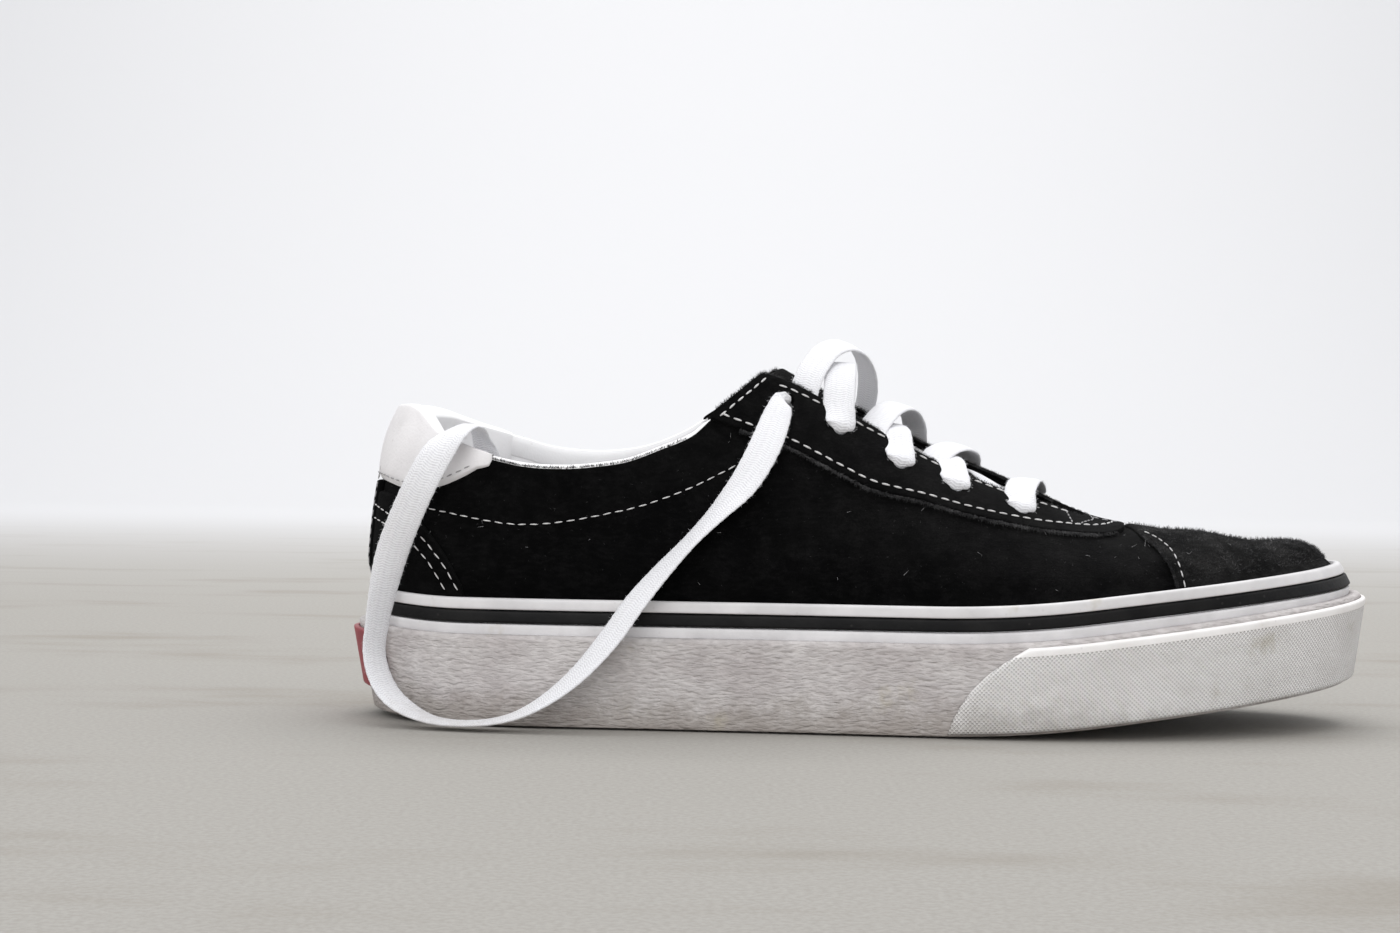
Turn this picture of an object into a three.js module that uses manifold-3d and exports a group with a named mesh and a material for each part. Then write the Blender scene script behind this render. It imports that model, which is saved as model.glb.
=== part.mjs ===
// A worn low-top lace-up sneaker for the right foot, in millimetres.
// +Z is up, +X is towards the toe and -Y towards the little-toe side, here called the outer side.
// It stands unbent on its sole, and the origin is on the floor below the middle of its length and width.
import * as THREE from 'three';
import { mergeVertices } from 'three/addons/utils/BufferGeometryUtils.js';
import Module from 'manifold-3d';

const wasm = await Module();
wasm.setup();

// Driving dimensions

const GAP = 0.3; // between pieces that touch on the real shoe
const FLEX_START = 17; // the sole leaves the floor in front of this
const FLEX_END = 60; // from here the toe rises on a straight line
const TOE_RISE = 0.125; // rise for each millimetre forward
const HEEL_START = -112; // behind this the heel edge is worn round
const HEEL_LIFT = 2.6;
const FOXING_HEIGHT = 35.6; // the rubber wall, floor to top, at the heel and waist
const FOXING_TOE_HEIGHT = 34.8;
const SIDEWALL_HEIGHT = 25.6; // the lower, grained strip
const SIDEWALL_THICK = 3.1;
const TAPE_THICK = 1.8; // the smooth strips that stand behind and above it
const STRIPE_LOW = 28.7; // the black strip between the smooth ones
const STRIPE_HIGH = 32.1;
const STRIP_ROUNDING = 0.7; // of the top strip's outer edge
const FLOOR_CLEAR = 0.6; // the wall's lower edge stands this far above the tread
const BUMPER_THICK = 1.3; // the dimpled toe strip
const BUMPER_ENDS = [[19, -4], [22, 6], [29, 16], [40, 24], [52, 30]]; // where its slanting ends lie (x, z)
const TAB_THICK = 1.6; // the coloured heel tab
const TAB_LOW = 6.6;
const TAB_HIGH = 23.2;
const TAB_WIDE = 48;
const SOLE_SLAB = 13.4; // floor to the top of the outsole slab
const TREAD_DEEP = 1.8;
const TREAD_WIDE = 2.4;
const TREAD_PITCH = 14;
const TREAD_BACK = -126; // the hindmost groove; they stop short of the toe
const TREAD_FRONT = 132;
const ARCH_BACK = -72; // between these two the arch is smooth
const ARCH_FRONT = -12;
const WALL = 2.2; // suede and lining together
const OVERLAY = 1.2; // a panel laid over the upper
const COLLAR_PAD = 7; // the padded heel collar, inside the last's skin
const COLLAR_ROLL = 1.9; // and above the topline
const INSOLE_THICK = 4;
const TONGUE_THICK = 3.2;
const TONGUE_SUNK = 2; // it has dropped this far away from the upper's inside
const LACE_WIDE = 8.4;
const LACE_THICK = 1.3;
const LACE_TUBE = 3.8; // the loose lace as a plain round tube
const EYELET = 4.4;
const AGLET = 3.2;

// The sole's widest outline: the toe tip, pairs of points down both sides (x, outer y, inner y), the heel
const TOE_TIP = [147, 8];
const SOLE_PAIRS = [
  [142.3, -9.5, 25], [130.6, -24.5, 36.5], [111.3, -37, 45.5], [86, -46.7, 50.6], [55, -51.7, 51.7],
  [18, -50.2, 46], [-20, -45.6, 38], [-60, -41.8, 35.4], [-94, -38.8, 36], [-120, -33.6, 33],
  [-136, -23.4, 23.8], [-144, -12.2, 12.6],
];
const HEEL_TIP = [-146.7, 0];

// The last, by distance along x: the line along its top, and how its cross-sections swell
const RIDGE_HEIGHT = [
  [126, 50.1], [116, 50.3], [104, 52.2], [92, 54.2], [78, 56.4], [68, 58.6], [61, 60.8], [53, 64.3], [40, 70],
  [27, 76], [15, 82.7], [5, 89.3], [-4, 95.4], [-14, 101.4], [-25, 107.5], [-40, 114], [-60, 120], [-85, 121.5],
  [-110, 116],
];
const RIDGE_TILT = [
  [80, 0], [55, 0.22], [40, 0.28], [22, 0.25], [12, 0.2], [0, 0.15], [-12, 0.08], [-30, 0.02], [-60, 0],
];
const RIDGE_SIDE = [[126, 6], [60, 6], [20, 5], [-25, 3], [-85, 0], [-110, 0]];
const RIDGE_X = [
  [141, 126], [128, 117], [112, 103], [88, 84], [60, 60], [-85, -82], [-120, -101], [-141.4, -110],
];
const SIDE_RISE = [[126, 0.84], [100, 0.74], [55, 0.62], [0, 0.5], [-50, 0.52], [-85, 0.55], [-110, 0.55]];
const SIDE_SWELL = [[126, 3], [100, 2.2], [55, 3.2], [0, 3.4], [-50, 4.4], [-85, 4.6], [-110, 5]];
const SHOULDER = [
  [126, 0.9], [104, 0.76], [88, 0.68], [55, 0.6], [0, 0.46], [-40, 0.62], [-85, 0.9], [-110, 0.68],
];
const TUCK = 1.6; // how far the tape pulls the upper in
const TUCK_FADE = 8; // and how far above the tape the upper is full again

// Lines on the upper, seen from the side (x, z)
const TOPLINE_OUTER = [
  [-131, 88.4], [-127, 86.9], [-120.6, 80.8], [-111.3, 76.9], [-105, 75.2], [-95.9, 73.4], [-85.6, 73],
  [-77.5, 73.6], [-67.8, 75.2], [-58.9, 78.6], [-49.9, 82.6], [-45, 87],
];
const TOPLINE_INNER = [
  [-131, 88.4], [-125.3, 87.9], [-118.7, 86], [-111.5, 83.8], [-100.3, 80.8], [-92.4, 78.6], [-80, 77.4],
  [-70, 78], [-61.8, 79.8], [-52, 84], [-45, 88.5],
];
const EYESTAY_BACK_OUTER = [-28.6, 101]; // the top back corners of the eyestays
const EYESTAY_BACK_INNER = [-23, 103.5];
const EYESTAY_LOWER = [
  [-49, 87.5], [-36.6, 82.8], [-24.4, 78.6], [-9.3, 71], [0.4, 66.4], [14.2, 63.1], [26.6, 59.7],
  [38.6, 57.1], [49.6, 55.3], [63.3, 54.2], [71.5, 54.6], [77.4, 57],
];
const VAMP_SEAM = [[88.5, 20], [87.4, 34], [86.6, 41], [85.3, 46.4], [83, 51], [80.5, 54], [80.5, 80]];
const COUNTER_TOP = [
  [-150, 65], [-136, 64], [-129, 60], [-123, 53.2], [-118.4, 47.4], [-115, 41.6], [-112.8, 36], [-111, 20],
];
const PATCH_LOWER = [
  [-150, 68.6], [-139.6, 68], [-130, 65.4], [-121, 66], [-115.5, 68], [-109, 71.6], [-105, 75.5], [-104, 95],
];
const BACK_STAY_HALF = 8.5;
const BACK_STAY_FRONT = -120;
const TONGUE_PLAN = [
  [70, 5], [66, -9], [56, -17], [30, -25], [-10, -29], [-38, -27], [-46, -20], [-46, 22], [-38, 30], [-10, 33],
  [30, 30], [56, 23], [66, 17], [70, 5],
];
const TONGUE_BACK = [[80, 50], [80, 90], [0, 130], [-22, 104], [-29.5, 99], [-48, 86], [-48, 50]];

// The throat lies on the little-toe side of the ridge: half its width, by x, from the vamp point back
const THROAT_POINT = 62;
const THROAT_ROUND = 2.5; // the cut ends this far in front of that point
const THROAT_SHIFT = -4;
const THROAT_HALF = [[62, 2.5], [52, 5], [40, 8], [0, 12.5], [-28, 15], [-60, 24]];
const EYELETS = [43.5, 24.5, 8.5, -7, -23.5]; // x of each on the little-toe side
const EYELET_SKEW = 7; // those on the big-toe side sit this far forward of them
const EYELET_IN = [12, 10.5, 11, 9, 7.5]; // how far each lies from the throat's edge, down the side

// The loose lace: from the top outer eyelet to the floor, up beside the heel and over the collar into the shoe
const LACE_END = [
  [-22.8, -22.9, 93.6], [-25.4, -28, 87], [-29, -32, 79.4], [-33, -35.2, 71.8], [-37.2, -37.4, 66],
  [-43.4, -39.6, 60], [-50.4, -41.8, 52.4], [-58.4, -44, 43.4], [-65.2, -45.8, 35.4], [-71.8, -47, 26.4],
  [-80.2, -47.6, 16.6], [-89.4, -47.4, 8.8], [-98.8, -46.4, 4.2], [-109.4, -44.6, 2.1], [-120.2, -41.6, 2.4],
  [-129, -37.4, 5.6], [-135, -32.8, 10.6], [-138.6, -28.6, 18.8], [-137.8, -27.6, 28], [-135.6, -29.4, 38],
  [-132.6, -32.4, 48], [-128.4, -36.2, 58], [-124, -38.2, 67], [-120, -36.8, 75.4], [-116, -33, 81.2],
  [-112, -26.4, 82.8], [-109.2, -19.6, 81], [-107, -17.8, 73], [-105, -19.6, 61], [-102.4, -22, 48.6],
  [-99, -23.6, 37],
];
const AGLET_START = [-98.9, -23.6, 36.5];
const AGLET_END = [-96.6, -23.8, 20.6];

// The two slack strands that arch over the throat from the fourth pair of eyelets
const LOOP_NEAR = [
  [-6, -22.4, 84.4], [-6.5, -19.6, 89], [-6.6, -16.6, 94.4], [-6.4, -12.4, 100.2], [-6, -6.4, 104.8],
  [-6.4, 0.2, 105.6], [-7.8, 5.8, 102.4], [-9.6, 8, 97.2],
];
const LOOP_FAR = [
  [0.5, 23, 83.2], [1.8, 19.8, 89], [2.6, 16, 95], [1, 12, 101.6], [-2.4, 8.4, 106.4], [-7, 4, 108.6],
  [-12.4, -1, 107], [-16.2, -6.2, 103], [-18, -9.2, 98.6],
];

const AROUND = 56; // facets round the shoe
const RISERS = [0, 0.13, 0.26, 0.39, 0.53, 0.68, 0.84, 1]; // levels of the last's sections

// Curves

// A smooth function through points [at, value], listed in either direction
function through(points) {
  const p = [...points].sort((a, b) => a[0] - b[0]);
  const last = p.length - 1;
  const slope = (i) => {
    const a = p[Math.max(i - 1, 0)];
    const b = p[Math.min(i + 1, last)];
    return (b[1] - a[1]) / (b[0] - a[0]);
  };
  return (x) => {
    if (x <= p[0][0]) return p[0][1] + slope(0) * (x - p[0][0]);
    if (x >= p[last][0]) return p[last][1] + slope(last) * (x - p[last][0]);
    const i = p.findIndex((q) => q[0] > x) - 1;
    const h = p[i + 1][0] - p[i][0];
    const t = (x - p[i][0]) / h;
    return (1 + 2 * t) * (1 - t) ** 2 * p[i][1] + t * (1 - t) ** 2 * h * slope(i)
      + t * t * (3 - 2 * t) * p[i + 1][1] + t * t * (t - 1) * h * slope(i + 1);
  };
}

const clamp = THREE.MathUtils.clamp;
const fade = (x) => THREE.MathUtils.smoothstep(x, 0, 1);
const ridgeHeight = through(RIDGE_HEIGHT);
const ridgeSide = through(RIDGE_SIDE);
const ridgeX = through(RIDGE_X);
const ridgeTilt = through(RIDGE_TILT);
const sideRise = through(SIDE_RISE);
const sideSwell = through(SIDE_SWELL);
const shoulder = through(SHOULDER);
const throatHalf = through(THROAT_HALF);
const toeward = (x) => fade((x - 60) / 88);
const foxingHeight = (x) => FOXING_HEIGHT + (FOXING_TOE_HEIGHT - FOXING_HEIGHT) * toeward(x);
const ridgeSlope = (x) => (ridgeHeight(x + 1) - ridgeHeight(x - 1)) / 2;

const outline = new THREE.CatmullRomCurve3([
  new THREE.Vector3(...TOE_TIP, 0),
  ...SOLE_PAIRS.map(([x, y]) => new THREE.Vector3(x, y, 0)),
  new THREE.Vector3(...HEEL_TIP, 0),
  ...[...SOLE_PAIRS].reverse().map(([x, , y]) => new THREE.Vector3(x, y, 0)),
], true, 'catmullrom', 0.5);

// Height of the sole's underside above the floor
function soleBottom(x) {
  if (x < HEEL_START) return HEEL_LIFT * ((HEEL_START - x) / (HEEL_START - HEEL_TIP[0])) ** 2;
  if (x <= FLEX_START) return 0;
  if (x >= FLEX_END) return TOE_RISE * (x - (FLEX_START + FLEX_END) / 2);
  return TOE_RISE * (x - FLEX_START) ** 2 / (2 * (FLEX_END - FLEX_START));
}

// How far the rubber wall leans in at this height: under, most at the heel and toe, and over at the toe's top
const LEAN_FROM = STRIPE_LOW - GAP;
function lean(x, height) {
  const under = 1.4 + 4 * fade((-96 - x) / 50) + 2.6 * fade((x - 90) / 56);
  const over = 3.4 * fade((x - 92) / 50);
  const upTape = clamp((height - LEAN_FROM) / (FOXING_HEIGHT - LEAN_FROM), 0, 1);
  return under * clamp(1 - height / LEAN_FROM, 0, 1) + over * upTape;
}

// A point at share p of the way round the sole (0 toe, 0.5 heel, 1 toe again), moved outwards
function around(p, outwards) {
  const share = ((p % 1) + 1) % 1;
  const at = outline.getPoint(share);
  const along = outline.getTangent(share);
  return new THREE.Vector3(at.x - along.y * outwards, at.y + along.x * outwards, 0);
}

// A point of the rubber wall: outwards from the widest outline, at a height above the sole's underside
function wallPoint(p, outwards, height) {
  const x = around(p, 0).x;
  const high = typeof height === 'function' ? height(x) : height;
  const at = around(p, outwards - lean(x, high));
  at.z = soleBottom(at.x) + high;
  return at;
}

const TAPE_OUT = -(SIDEWALL_THICK + GAP);
const TAPE_IN = TAPE_OUT - TAPE_THICK;

// The last's skin: p round the sole, v from the sole (0) to the ridge (1)
function lastPoint(p, v) {
  const wallX = around(p, 0).x;
  const base = around(p, TAPE_IN - GAP);
  base.z = soleBottom(base.x) + SOLE_SLAB + GAP;
  const x = ridgeX(base.x);
  const top = new THREE.Vector3(x, ridgeSide(x), ridgeHeight(x));
  const out = around(p, 1).sub(around(p, 0));
  const side = base.clone().addScaledVector(out, sideSwell(x));
  side.z += sideRise(x) * (top.z - base.z);
  const over = top.clone().lerp(base, shoulder(x));
  const across = over.y - top.y;
  over.z = top.z + ridgeSlope(x) * (over.x - top.x) + ridgeTilt(x) * across * (across > 0 ? 0.6 : 1);
  const at = new THREE.CubicBezierCurve3(base, side, over, top).getPoint(v);
  const height = at.z - soleBottom(at.x);
  const tucked = TUCK * (1 - fade((height - foxingHeight(at.x)) / TUCK_FADE));
  return at.addScaledVector(out, -tucked - lean(wallX, height) * (1 - v ** 3));
}

function lastNormal(p, v) {
  const step = 1e-3;
  if (v > 0.999) return new THREE.Vector3(-ridgeSlope(lastPoint(p, 1).x), 0, 1).normalize();
  const along = lastPoint(p + step, v).sub(lastPoint(p - step, v));
  const up = lastPoint(p, v + step).sub(lastPoint(p, Math.max(v - step, 0)));
  return up.cross(along).normalize();
}

const lastSkin = (p, v, outwards) => lastPoint(p, v).addScaledVector(lastNormal(p, v), outwards);

// Solids

function solid(geometry) {
  const bare = geometry.clone();
  for (const name of Object.keys(bare.attributes)) if (name !== 'position') bare.deleteAttribute(name);
  const merged = mergeVertices(bare, 1e-3);
  const index = [];
  for (let k = 0; k < merged.index.count; k += 3) {
    const [a, b, c] = [0, 1, 2].map((n) => merged.index.getX(k + n));
    if (a !== b && b !== c && c !== a) index.push(a, b, c);
  }
  const make = (triVerts) => new wasm.Manifold(new wasm.Mesh({
    numProp: 3,
    vertProperties: new Float32Array(merged.attributes.position.array),
    triVerts: new Uint32Array(triVerts),
  }));
  const made = make(index);
  if (made.volume() > 0) return made;
  return make(index.map((_, k) => index[k - (k % 3) + [0, 2, 1][k % 3]]));
}

// A grid of points, rows by columns, as a closed solid once its shared points are merged
function gridSolid(rows, columns, place) {
  const sheet = new THREE.PlaneGeometry(1, 1, columns, rows);
  const position = sheet.attributes.position;
  for (let i = 0; i <= rows; i += 1) {
    for (let j = 0; j <= columns; j += 1) {
      position.setXYZ(i * (columns + 1) + j, ...place(i, j).toArray());
    }
  }
  return solid(sheet);
}

// A solid across the shoe from toe to heel: each section runs up the outer side and down the inner one
function acrossSolid(levels, place) {
  const loop = [...levels.map((level) => [0, level]), ...[...levels].reverse().map((level) => [1, level])];
  loop.push(loop[0]);
  return gridSolid(AROUND / 2, loop.length - 1, (i, j) => {
    const [inner, level] = loop[j];
    return place(inner ? 1 - i / AROUND : i / AROUND, level);
  });
}

// The last, swelled outwards, with its underside lowered by drop
function lastForm(outwards, drop = 0) {
  return acrossSolid([-1, ...RISERS], (p, v) => {
    const at = lastSkin(p, Math.max(v, 0), outwards);
    if (v < 0) at.z -= drop + 0.01;
    return at;
  });
}

// The space inside the rubber wall, moved outwards, between two heights above the sole's underside
const insideWall = (outwards, low, high) => acrossSolid([low, high], (p, h) => wallPoint(p, outwards, h));

// A strip of rubber round the shoe; its section is a list of [outwards, height]
function band(section) {
  return gridSolid(AROUND, section.length, (i, j) => wallPoint(i / AROUND, ...section[j % section.length]));
}

// A prism through an outline seen from the side (x, z), between two values of y
function sidePrism(points, from, to) {
  const shape = new THREE.Shape(points.map(([x, z]) => new THREE.Vector2(x, z)));
  const block = new THREE.ExtrudeGeometry(shape, { depth: to - from, bevelEnabled: false });
  block.rotateX(Math.PI / 2);
  block.translate(0, to, 0);
  return solid(block);
}

// A prism through an outline seen from above (x, y), between two heights
function planPrism(points, low, high) {
  const shape = new THREE.Shape(points.map(([x, y]) => new THREE.Vector2(x, y)));
  const block = new THREE.ExtrudeGeometry(shape, { depth: high - low, bevelEnabled: false });
  block.translate(0, 0, low);
  return solid(block);
}

function box(x, y, z, at, turnY = 0) {
  const block = new THREE.BoxGeometry(x, y, z);
  block.rotateY(turnY);
  block.translate(...at);
  return solid(block);
}

// The points of a smooth line through a few chosen ones
function smooth(points, steps) {
  const line = new THREE.SplineCurve(points.map(([x, y]) => new THREE.Vector2(x, y)));
  return line.getPoints(steps).map((q) => [q.x, q.y]);
}

// A round rod through points in space, with flat ends
function rod(points, diameter, steps, sides = 8) {
  const circle = new THREE.Shape();
  for (let k = 0; k < sides; k += 1) {
    const turn = 2 * Math.PI * k / sides;
    const at = [diameter / 2 * Math.cos(turn), diameter / 2 * Math.sin(turn)];
    if (k) circle.lineTo(...at);
    else circle.moveTo(...at);
  }
  const line = new THREE.CatmullRomCurve3(points.map((q) => new THREE.Vector3(...q)), false, 'catmullrom', 0.5);
  const options = { steps, extrudePath: line, bevelEnabled: false, curveSegments: 1 };
  return solid(new THREE.ExtrudeGeometry(circle, options));
}

// Materials

const paint = (colour, roughness) => new THREE.MeshStandardMaterial({ color: colour, roughness, metalness: 0 });
const SUEDE = paint(0x151516, 0.95);
const WHITE_LEATHER = paint(0xe9e6e4, 0.55);
const RUBBER = paint(0xd2ccc6, 0.7);
const BLACK_RUBBER = paint(0x232224, 0.5);
const OUTSOLE_RUBBER = paint(0x9a928a, 0.8);
const RED_RUBBER = paint(0xa8313a, 0.55);
const LACE = paint(0xf3f2f4, 0.85);
const TEXTILE = paint(0xb9b9ba, 0.95);
const CLEAR_TIP = paint(0xe4e4e6, 0.3);

const shoe = new THREE.Group();

function add(name, made, material) {
  const { vertProperties, triVerts } = made.getMesh();
  const geometry = new THREE.BufferGeometry();
  geometry.setAttribute('position', new THREE.BufferAttribute(new Float32Array(vertProperties), 3));
  geometry.setIndex(new THREE.BufferAttribute(new Uint32Array(triVerts), 1));
  const mesh = new THREE.Mesh(geometry, material);
  mesh.name = name;
  shoe.add(mesh);
}

// Sole: a slab with cross grooves, inside a wall of strips

function outsole() {
  const edge = TAPE_IN - GAP - 0.1;
  let made = acrossSolid([SOLE_SLAB, 1.2, 0], (p, h) => wallPoint(p, h ? edge : edge - 1.5, h));
  for (let x = TREAD_BACK; x < TREAD_FRONT; x += TREAD_PITCH) {
    if (x > ARCH_BACK && x < ARCH_FRONT) continue;
    const slope = Math.atan((soleBottom(x + 1) - soleBottom(x - 1)) / 2);
    made = made.subtract(box(TREAD_WIDE, 140, 2 * TREAD_DEEP, [x, 0, soleBottom(x)], -slope));
  }
  return made;
}

const sidewall = () => band([
  [-0.4, FLOOR_CLEAR], [0, FLOOR_CLEAR + 1], [0, SIDEWALL_HEIGHT - 1.2], [-1, SIDEWALL_HEIGHT],
  [-SIDEWALL_THICK, SIDEWALL_HEIGHT], [-SIDEWALL_THICK, FLOOR_CLEAR],
]);

// The wall is a little lower at the toe, and a height taken at the heel comes down in proportion
const LESS_AT_TOE = (FOXING_HEIGHT - FOXING_TOE_HEIGHT) / FOXING_HEIGHT;
const atToe = (height) => (x) => height * (1 - LESS_AT_TOE * toeward(x));

// One of the smooth strips behind the sidewall and above it, between two heights at the heel
const smoothStrip = (low, high, rounding = 0) => band([
  [TAPE_IN, atToe(low)], [TAPE_IN, atToe(high)], ...(rounding ? [[TAPE_OUT - rounding, atToe(high)]] : []),
  [TAPE_OUT, atToe(high - rounding)], [TAPE_OUT, atToe(low)],
]);

// The dimpled toe strip, laid over the sidewall with its ends cut on a slant
function toeBumper() {
  const face = GAP + BUMPER_THICK;
  const top = SIDEWALL_HEIGHT - 1.4;
  const ring = band([[GAP, top], [GAP + 0.5, top], [face, top - 0.6], [face, 2.6], [GAP, 1.2]]);
  return ring.intersect(sidePrism([...smooth(BUMPER_ENDS, 6), [60, 60], [170, 60], [170, -4]], -90, 90));
}

function heelTab() {
  const face = GAP + TAB_THICK;
  const ring = band([[GAP, TAB_HIGH], [face, TAB_HIGH - 0.6], [face, TAB_LOW + 0.6], [GAP, TAB_LOW]]);
  return ring.intersect(box(40, TAB_WIDE, 60, [-150, 0, 20]));
}

// Upper

const below = insideWall(12, -30, (x) => foxingHeight(x) + GAP); // the overlays stop at the tape's top

const throatEdge = (x, side) => ridgeSide(x) + THROAT_SHIFT + side * throatHalf(x);
const THROAT_XS = [THROAT_POINT, 52, 40, 20, 0, -28, -60];
const throatCut = planPrism([
  [THROAT_POINT + THROAT_ROUND, ridgeSide(THROAT_POINT) + THROAT_SHIFT],
  ...THROAT_XS.map((x) => [x, throatEdge(x, 1)]),
  ...[...THROAT_XS].reverse().map((x) => [x, throatEdge(x, -1)]),
], 40, 150);

// What lies above a topline, on one side of the middle, lifted by raise
function aboveTopline(line, corner, raise, from, to) {
  const rim = smooth(line, 20).map(([x, z]) => [x, z + raise]);
  const front = [[corner[0], corner[1]], [corner[0] + 8, corner[1] + 6], [corner[0] + 8, 150]];
  return sidePrism([[-170, rim[0][1] - 0.8], ...rim, ...front, [-170, 150]], from, to);
}
const collarCut = (raise) => aboveTopline(TOPLINE_OUTER, EYESTAY_BACK_OUTER, raise, -90, 0)
  .add(aboveTopline(TOPLINE_INNER, EYESTAY_BACK_INNER, raise, 0, 90));

// A piece of the layer between two swellings of the last
const layer = (low, high) => lastForm(high, 6).subtract(lastForm(low, 12));

// The last number of a range that still meets a test, when the numbers below it do too
function lastThat(meets, low, high) {
  let [from, to] = [low, high];
  for (let k = 0; k < 24; k += 1) {
    const middle = (from + to) / 2;
    if (meets(middle)) from = middle;
    else to = middle;
  }
  return from;
}

// Where on the last's skin a point seen from above lies: its share round the sole and its level
function skinAt(x, y) {
  const inner = y > ridgeSide(x);
  const share = (p) => (inner ? 1 - p : p);
  let [p, v] = [0.25, 0.9];
  for (let k = 0; k < 6; k += 1) {
    p = lastThat((q) => lastPoint(share(q), v).x > x, 0.05, 0.45);
    v = lastThat((w) => Math.abs(lastPoint(share(p), w).y - ridgeSide(x)) > Math.abs(y - ridgeSide(x)), 0.2, 1);
  }
  return { share: share(p), v };
}

// The axis of an eyelet hole, at a distance from the throat's edge down the side
function eyeletAxis(pair, side) {
  const x = EYELETS[pair] + (side > 0 ? EYELET_SKEW : 0);
  const { share, v } = skinAt(x, throatEdge(x, side));
  const edge = lastPoint(share, v);
  const level = lastThat((w) => lastPoint(share, w).distanceTo(edge) > EYELET_IN[pair], 0.3, v);
  return { at: lastPoint(share, level), normal: lastNormal(share, level) };
}
const eyelets = EYELETS.map((_, pair) => [-1, 1].map((side) => eyeletAxis(pair, side)));

const punched = eyelets.flat().map(({ at, normal }) => {
  const punch = new THREE.CylinderGeometry(EYELET / 2, EYELET / 2, 16, 7);
  punch.applyQuaternion(new THREE.Quaternion().setFromUnitVectors(new THREE.Vector3(0, 1, 0), normal));
  punch.translate(...at.toArray());
  return solid(punch);
}).reduce((all, punch) => all.add(punch));

const upper = () => lastForm(0)
  .subtract(lastForm(-WALL, 20))
  .subtract(collarCut(0))
  .subtract(throatCut)
  .subtract(punched);

// One of the two panels that carry the eyelets
function eyestay(corner, from, to) {
  const face = [...smooth(EYESTAY_LOWER, 14), [79, 64], [60, 90], [20, 118], [corner[0] + 2, corner[1] + 2], corner];
  return layer(GAP, GAP + OVERLAY).intersect(sidePrism(face, from, to)).subtract(throatCut).subtract(punched);
}

const toeVamp = () => layer(GAP, GAP + OVERLAY)
  .intersect(sidePrism([...VAMP_SEAM, [170, 80], [170, 20]], -90, 90))
  .subtract(below);

// All that lies above the heel patch's lower edge, lowered by drop
function patchRegion(drop) {
  const edge = smooth(PATCH_LOWER, 12).map(([x, z]) => [x, z - drop]);
  return sidePrism([...edge, [-150, 95]], -90, 90);
}

// The heel counter's two halves reach from the back stay forwards
const counter = (from, to) => layer(GAP, GAP + OVERLAY)
  .intersect(sidePrism([...smooth(COUNTER_TOP, 12), [-160, 20]], from, to))
  .subtract(below)
  .subtract(patchRegion(GAP));

const backStay = () => layer(GAP, GAP + OVERLAY)
  .intersect(box(40, 2 * BACK_STAY_HALF, 60, [BACK_STAY_FRONT - 20, 0, 40]))
  .subtract(below)
  .subtract(patchRegion(GAP));

// The padded heel collar: white leather over the outside, the top and the inside of the wall
function heelPatch() {
  const roll = lastForm(GAP + OVERLAY)
    .subtract(lastForm(-COLLAR_PAD, 20))
    .intersect(patchRegion(0))
    .subtract(collarCut(COLLAR_ROLL));
  const wall = lastForm(GAP, 6)
    .subtract(lastForm(-WALL - GAP, 30))
    .subtract(collarCut(GAP));
  return roll.subtract(wall);
}

// Tongue and insole, held clear of the upper's inside

const TONGUE_FACE = -WALL - GAP - TONGUE_SUNK;
const tongue = () => lastForm(TONGUE_FACE, 20)
  .subtract(lastForm(TONGUE_FACE - TONGUE_THICK, 30))
  .intersect(planPrism(smooth(TONGUE_PLAN, 24), 50, 140))
  .intersect(sidePrism(TONGUE_BACK, -90, 90));

const INSOLE_EDGE = TAPE_IN - TUCK - WALL - 1.6;
const insole = () => insideWall(INSOLE_EDGE, SOLE_SLAB + GAP, SOLE_SLAB + GAP + INSOLE_THICK);

// Laces

// A flat strand through points, each with the direction that its face looks in
function ribbon(line, faces) {
  const count = line.length;
  const corners = [[-1, -1], [1, -1], [1, 1], [-1, 1]];
  return gridSolid(count + 1, 4, (i, j) => {
    const k = clamp(i - 1, 0, count - 1);
    if (i === 0 || i === count + 1) return line[k].clone();
    const along = line[Math.min(k + 1, count - 1)].clone().sub(line[Math.max(k - 1, 0)]).normalize();
    const across = along.clone().cross(faces[k]).normalize();
    const up = across.clone().cross(along);
    const [a, b] = corners[j % 4];
    return line[k].clone().addScaledVector(across, a * LACE_WIDE / 2).addScaledVector(up, b * LACE_THICK / 2);
  });
}

// A strand through places seen from above (x, y), each with its height over the last's skin
function strand(places, steps) {
  const route = new THREE.CatmullRomCurve3(places.map((q) => new THREE.Vector3(...q)));
  const spots = route.getPoints(steps).map((q) => ({ ...skinAt(q.x, q.y), lift: q.z }));
  const line = spots.map(({ share, v, lift }) => lastSkin(share, v, lift));
  return ribbon(line, spots.map(({ share, v }) => lastNormal(share, v)));
}

const ON_EYESTAY = GAP + OVERLAY + GAP + LACE_THICK / 2 + 0.1;
const ON_TONGUE = TONGUE_FACE + GAP + LACE_THICK / 2 + 0.5;

// The straight bar over the first pair of eyelets
function laceBar() {
  const [a, b] = eyelets[0].map(({ at }) => at);
  const middle = a.clone().lerp(b, 0.5);
  return strand([[a.x, a.y, ON_EYESTAY], [middle.x, middle.y, ON_EYESTAY + 0.3], [b.x, b.y, ON_EYESTAY]], 8);
}

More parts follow.
